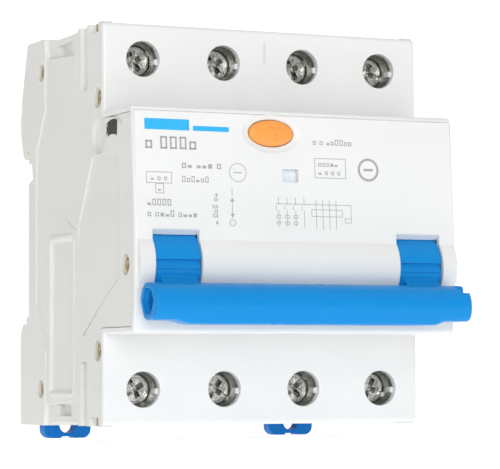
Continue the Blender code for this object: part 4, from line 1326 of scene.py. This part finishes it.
# World brightness as a sum of gradients: direction, low and high share, and where the ramp runs
WORLD_GRADIENTS = [
    ((0.42, 0.91, 0.0), 0.30, 1.1, 0.70, 0.95),
    ((0.0, 0.0, 1.0), 0.0, 0.55, 0.2, 0.9),
    ((-1.0, 0.0, 0.0), 0.0, -0.10, 0.2, 0.8),
]


def build_floor():
    """Plain pale floor under the device."""
    bm = bmesh.new()
    low = CAD_BOX[0][2] / MM
    corners = [(-1, -1), (1, -1), (1, 1), (-1, 1)]
    bm.faces.new([bm.verts.new((x * FLOOR_HALF, y * FLOOR_HALF, low)) for x, y in corners])
    mesh = finish_mesh(bm)
    mesh.transform(Matrix.Scale(MM, 4))
    made, tree, shader = new_material("studio_floor", 0.9)
    pale = blend_colours(tree, noise(tree, 3.0), (0.90, 0.90, 0.90), (0.94, 0.94, 0.94))
    tree.links.new(pale, shader.inputs["Base Color"])
    shader.inputs["Emission Color"].default_value = (1.0, 1.0, 1.0, 1.0)
    shader.inputs["Emission Strength"].default_value = FLOOR_GLOW
    mesh.materials.append(made)
    floor = bpy.data.objects.new("studio_floor", mesh)
    bpy.context.collection.objects.link(floor)


def build_world():
    """Soft surroundings: bright behind the device, softer above, dimmer on its left."""
    world = bpy.data.worlds.new("studio")
    world.use_nodes = True
    bpy.context.scene.world = world
    tree = world.node_tree
    coordinates = add_node(tree, "ShaderNodeTexCoord")
    total = None
    for direction, low, high, start, end in WORLD_GRADIENTS:
        dot = add_node(tree, "ShaderNodeVectorMath", operation="DOT_PRODUCT")
        tree.links.new(coordinates.outputs["Generated"], dot.inputs[0])
        dot.inputs[1].default_value = direction
        share = ramp(tree, dot.outputs["Value"], low, high, start, end)
        if total is None:
            total = share
            continue
        add = add_node(tree, "ShaderNodeMath", operation="ADD")
        tree.links.new(total, add.inputs[0])
        tree.links.new(share, add.inputs[1])
        total = add.outputs[0]
    tree.links.new(total, tree.nodes["Background"].inputs["Strength"])
    tree.nodes["Background"].inputs["Color"].default_value = (1.0, 1.0, 1.0, 1.0)


def add_light(name, place_mm, target_mm, size_mm, power):
    """A square soft light that points at a target."""
    data = bpy.data.lights.new(name, "AREA")
    data.energy = power
    data.size = size_mm * MM
    light = bpy.data.objects.new(name, data)
    light.location = Vector(place_mm) * MM
    light.rotation_euler = (Vector(target_mm) - Vector(place_mm)).to_track_quat("-Z", "Y").to_euler()
    bpy.context.collection.objects.link(light)


def build_camera():
    """Camera at the photograph's place."""
    data = bpy.data.cameras.new("camera")
    data.lens = CAMERA_LENS
    data.sensor_width = SENSOR_WIDTH
    data.clip_start = 0.01
    camera = bpy.data.objects.new("camera", data)
    yaw = Matrix.Rotation(-math.radians(CAMERA_YAW), 4, "Z")
    pitch = Matrix.Rotation(math.radians(90.0 + CAMERA_PITCH), 4, "X")
    roll = Matrix.Rotation(math.radians(CAMERA_ROLL), 4, "Z")
    camera.matrix_world = Matrix.Translation(Vector(CAMERA_PLACE) * MM) @ yaw @ pitch @ roll
    bpy.context.collection.objects.link(camera)
    bpy.context.scene.camera = camera


def build_studio():
    """Floor, light and camera."""
    build_floor()
    build_world()
    for name, settings in LIGHTS.items():
        add_light(name, *settings)
    build_camera()
    bpy.context.scene.view_settings.view_transform = "Standard"


def main():
    """Build the looks."""
    looks = make_looks()
    paint_frame(looks)
    build_casing(looks)
    build_rivets(looks)
    build_terminals(looks)
    build_handle(looks)
    build_button(looks)
    build_clips(looks)
    build_print(looks)
    build_studio()


main()
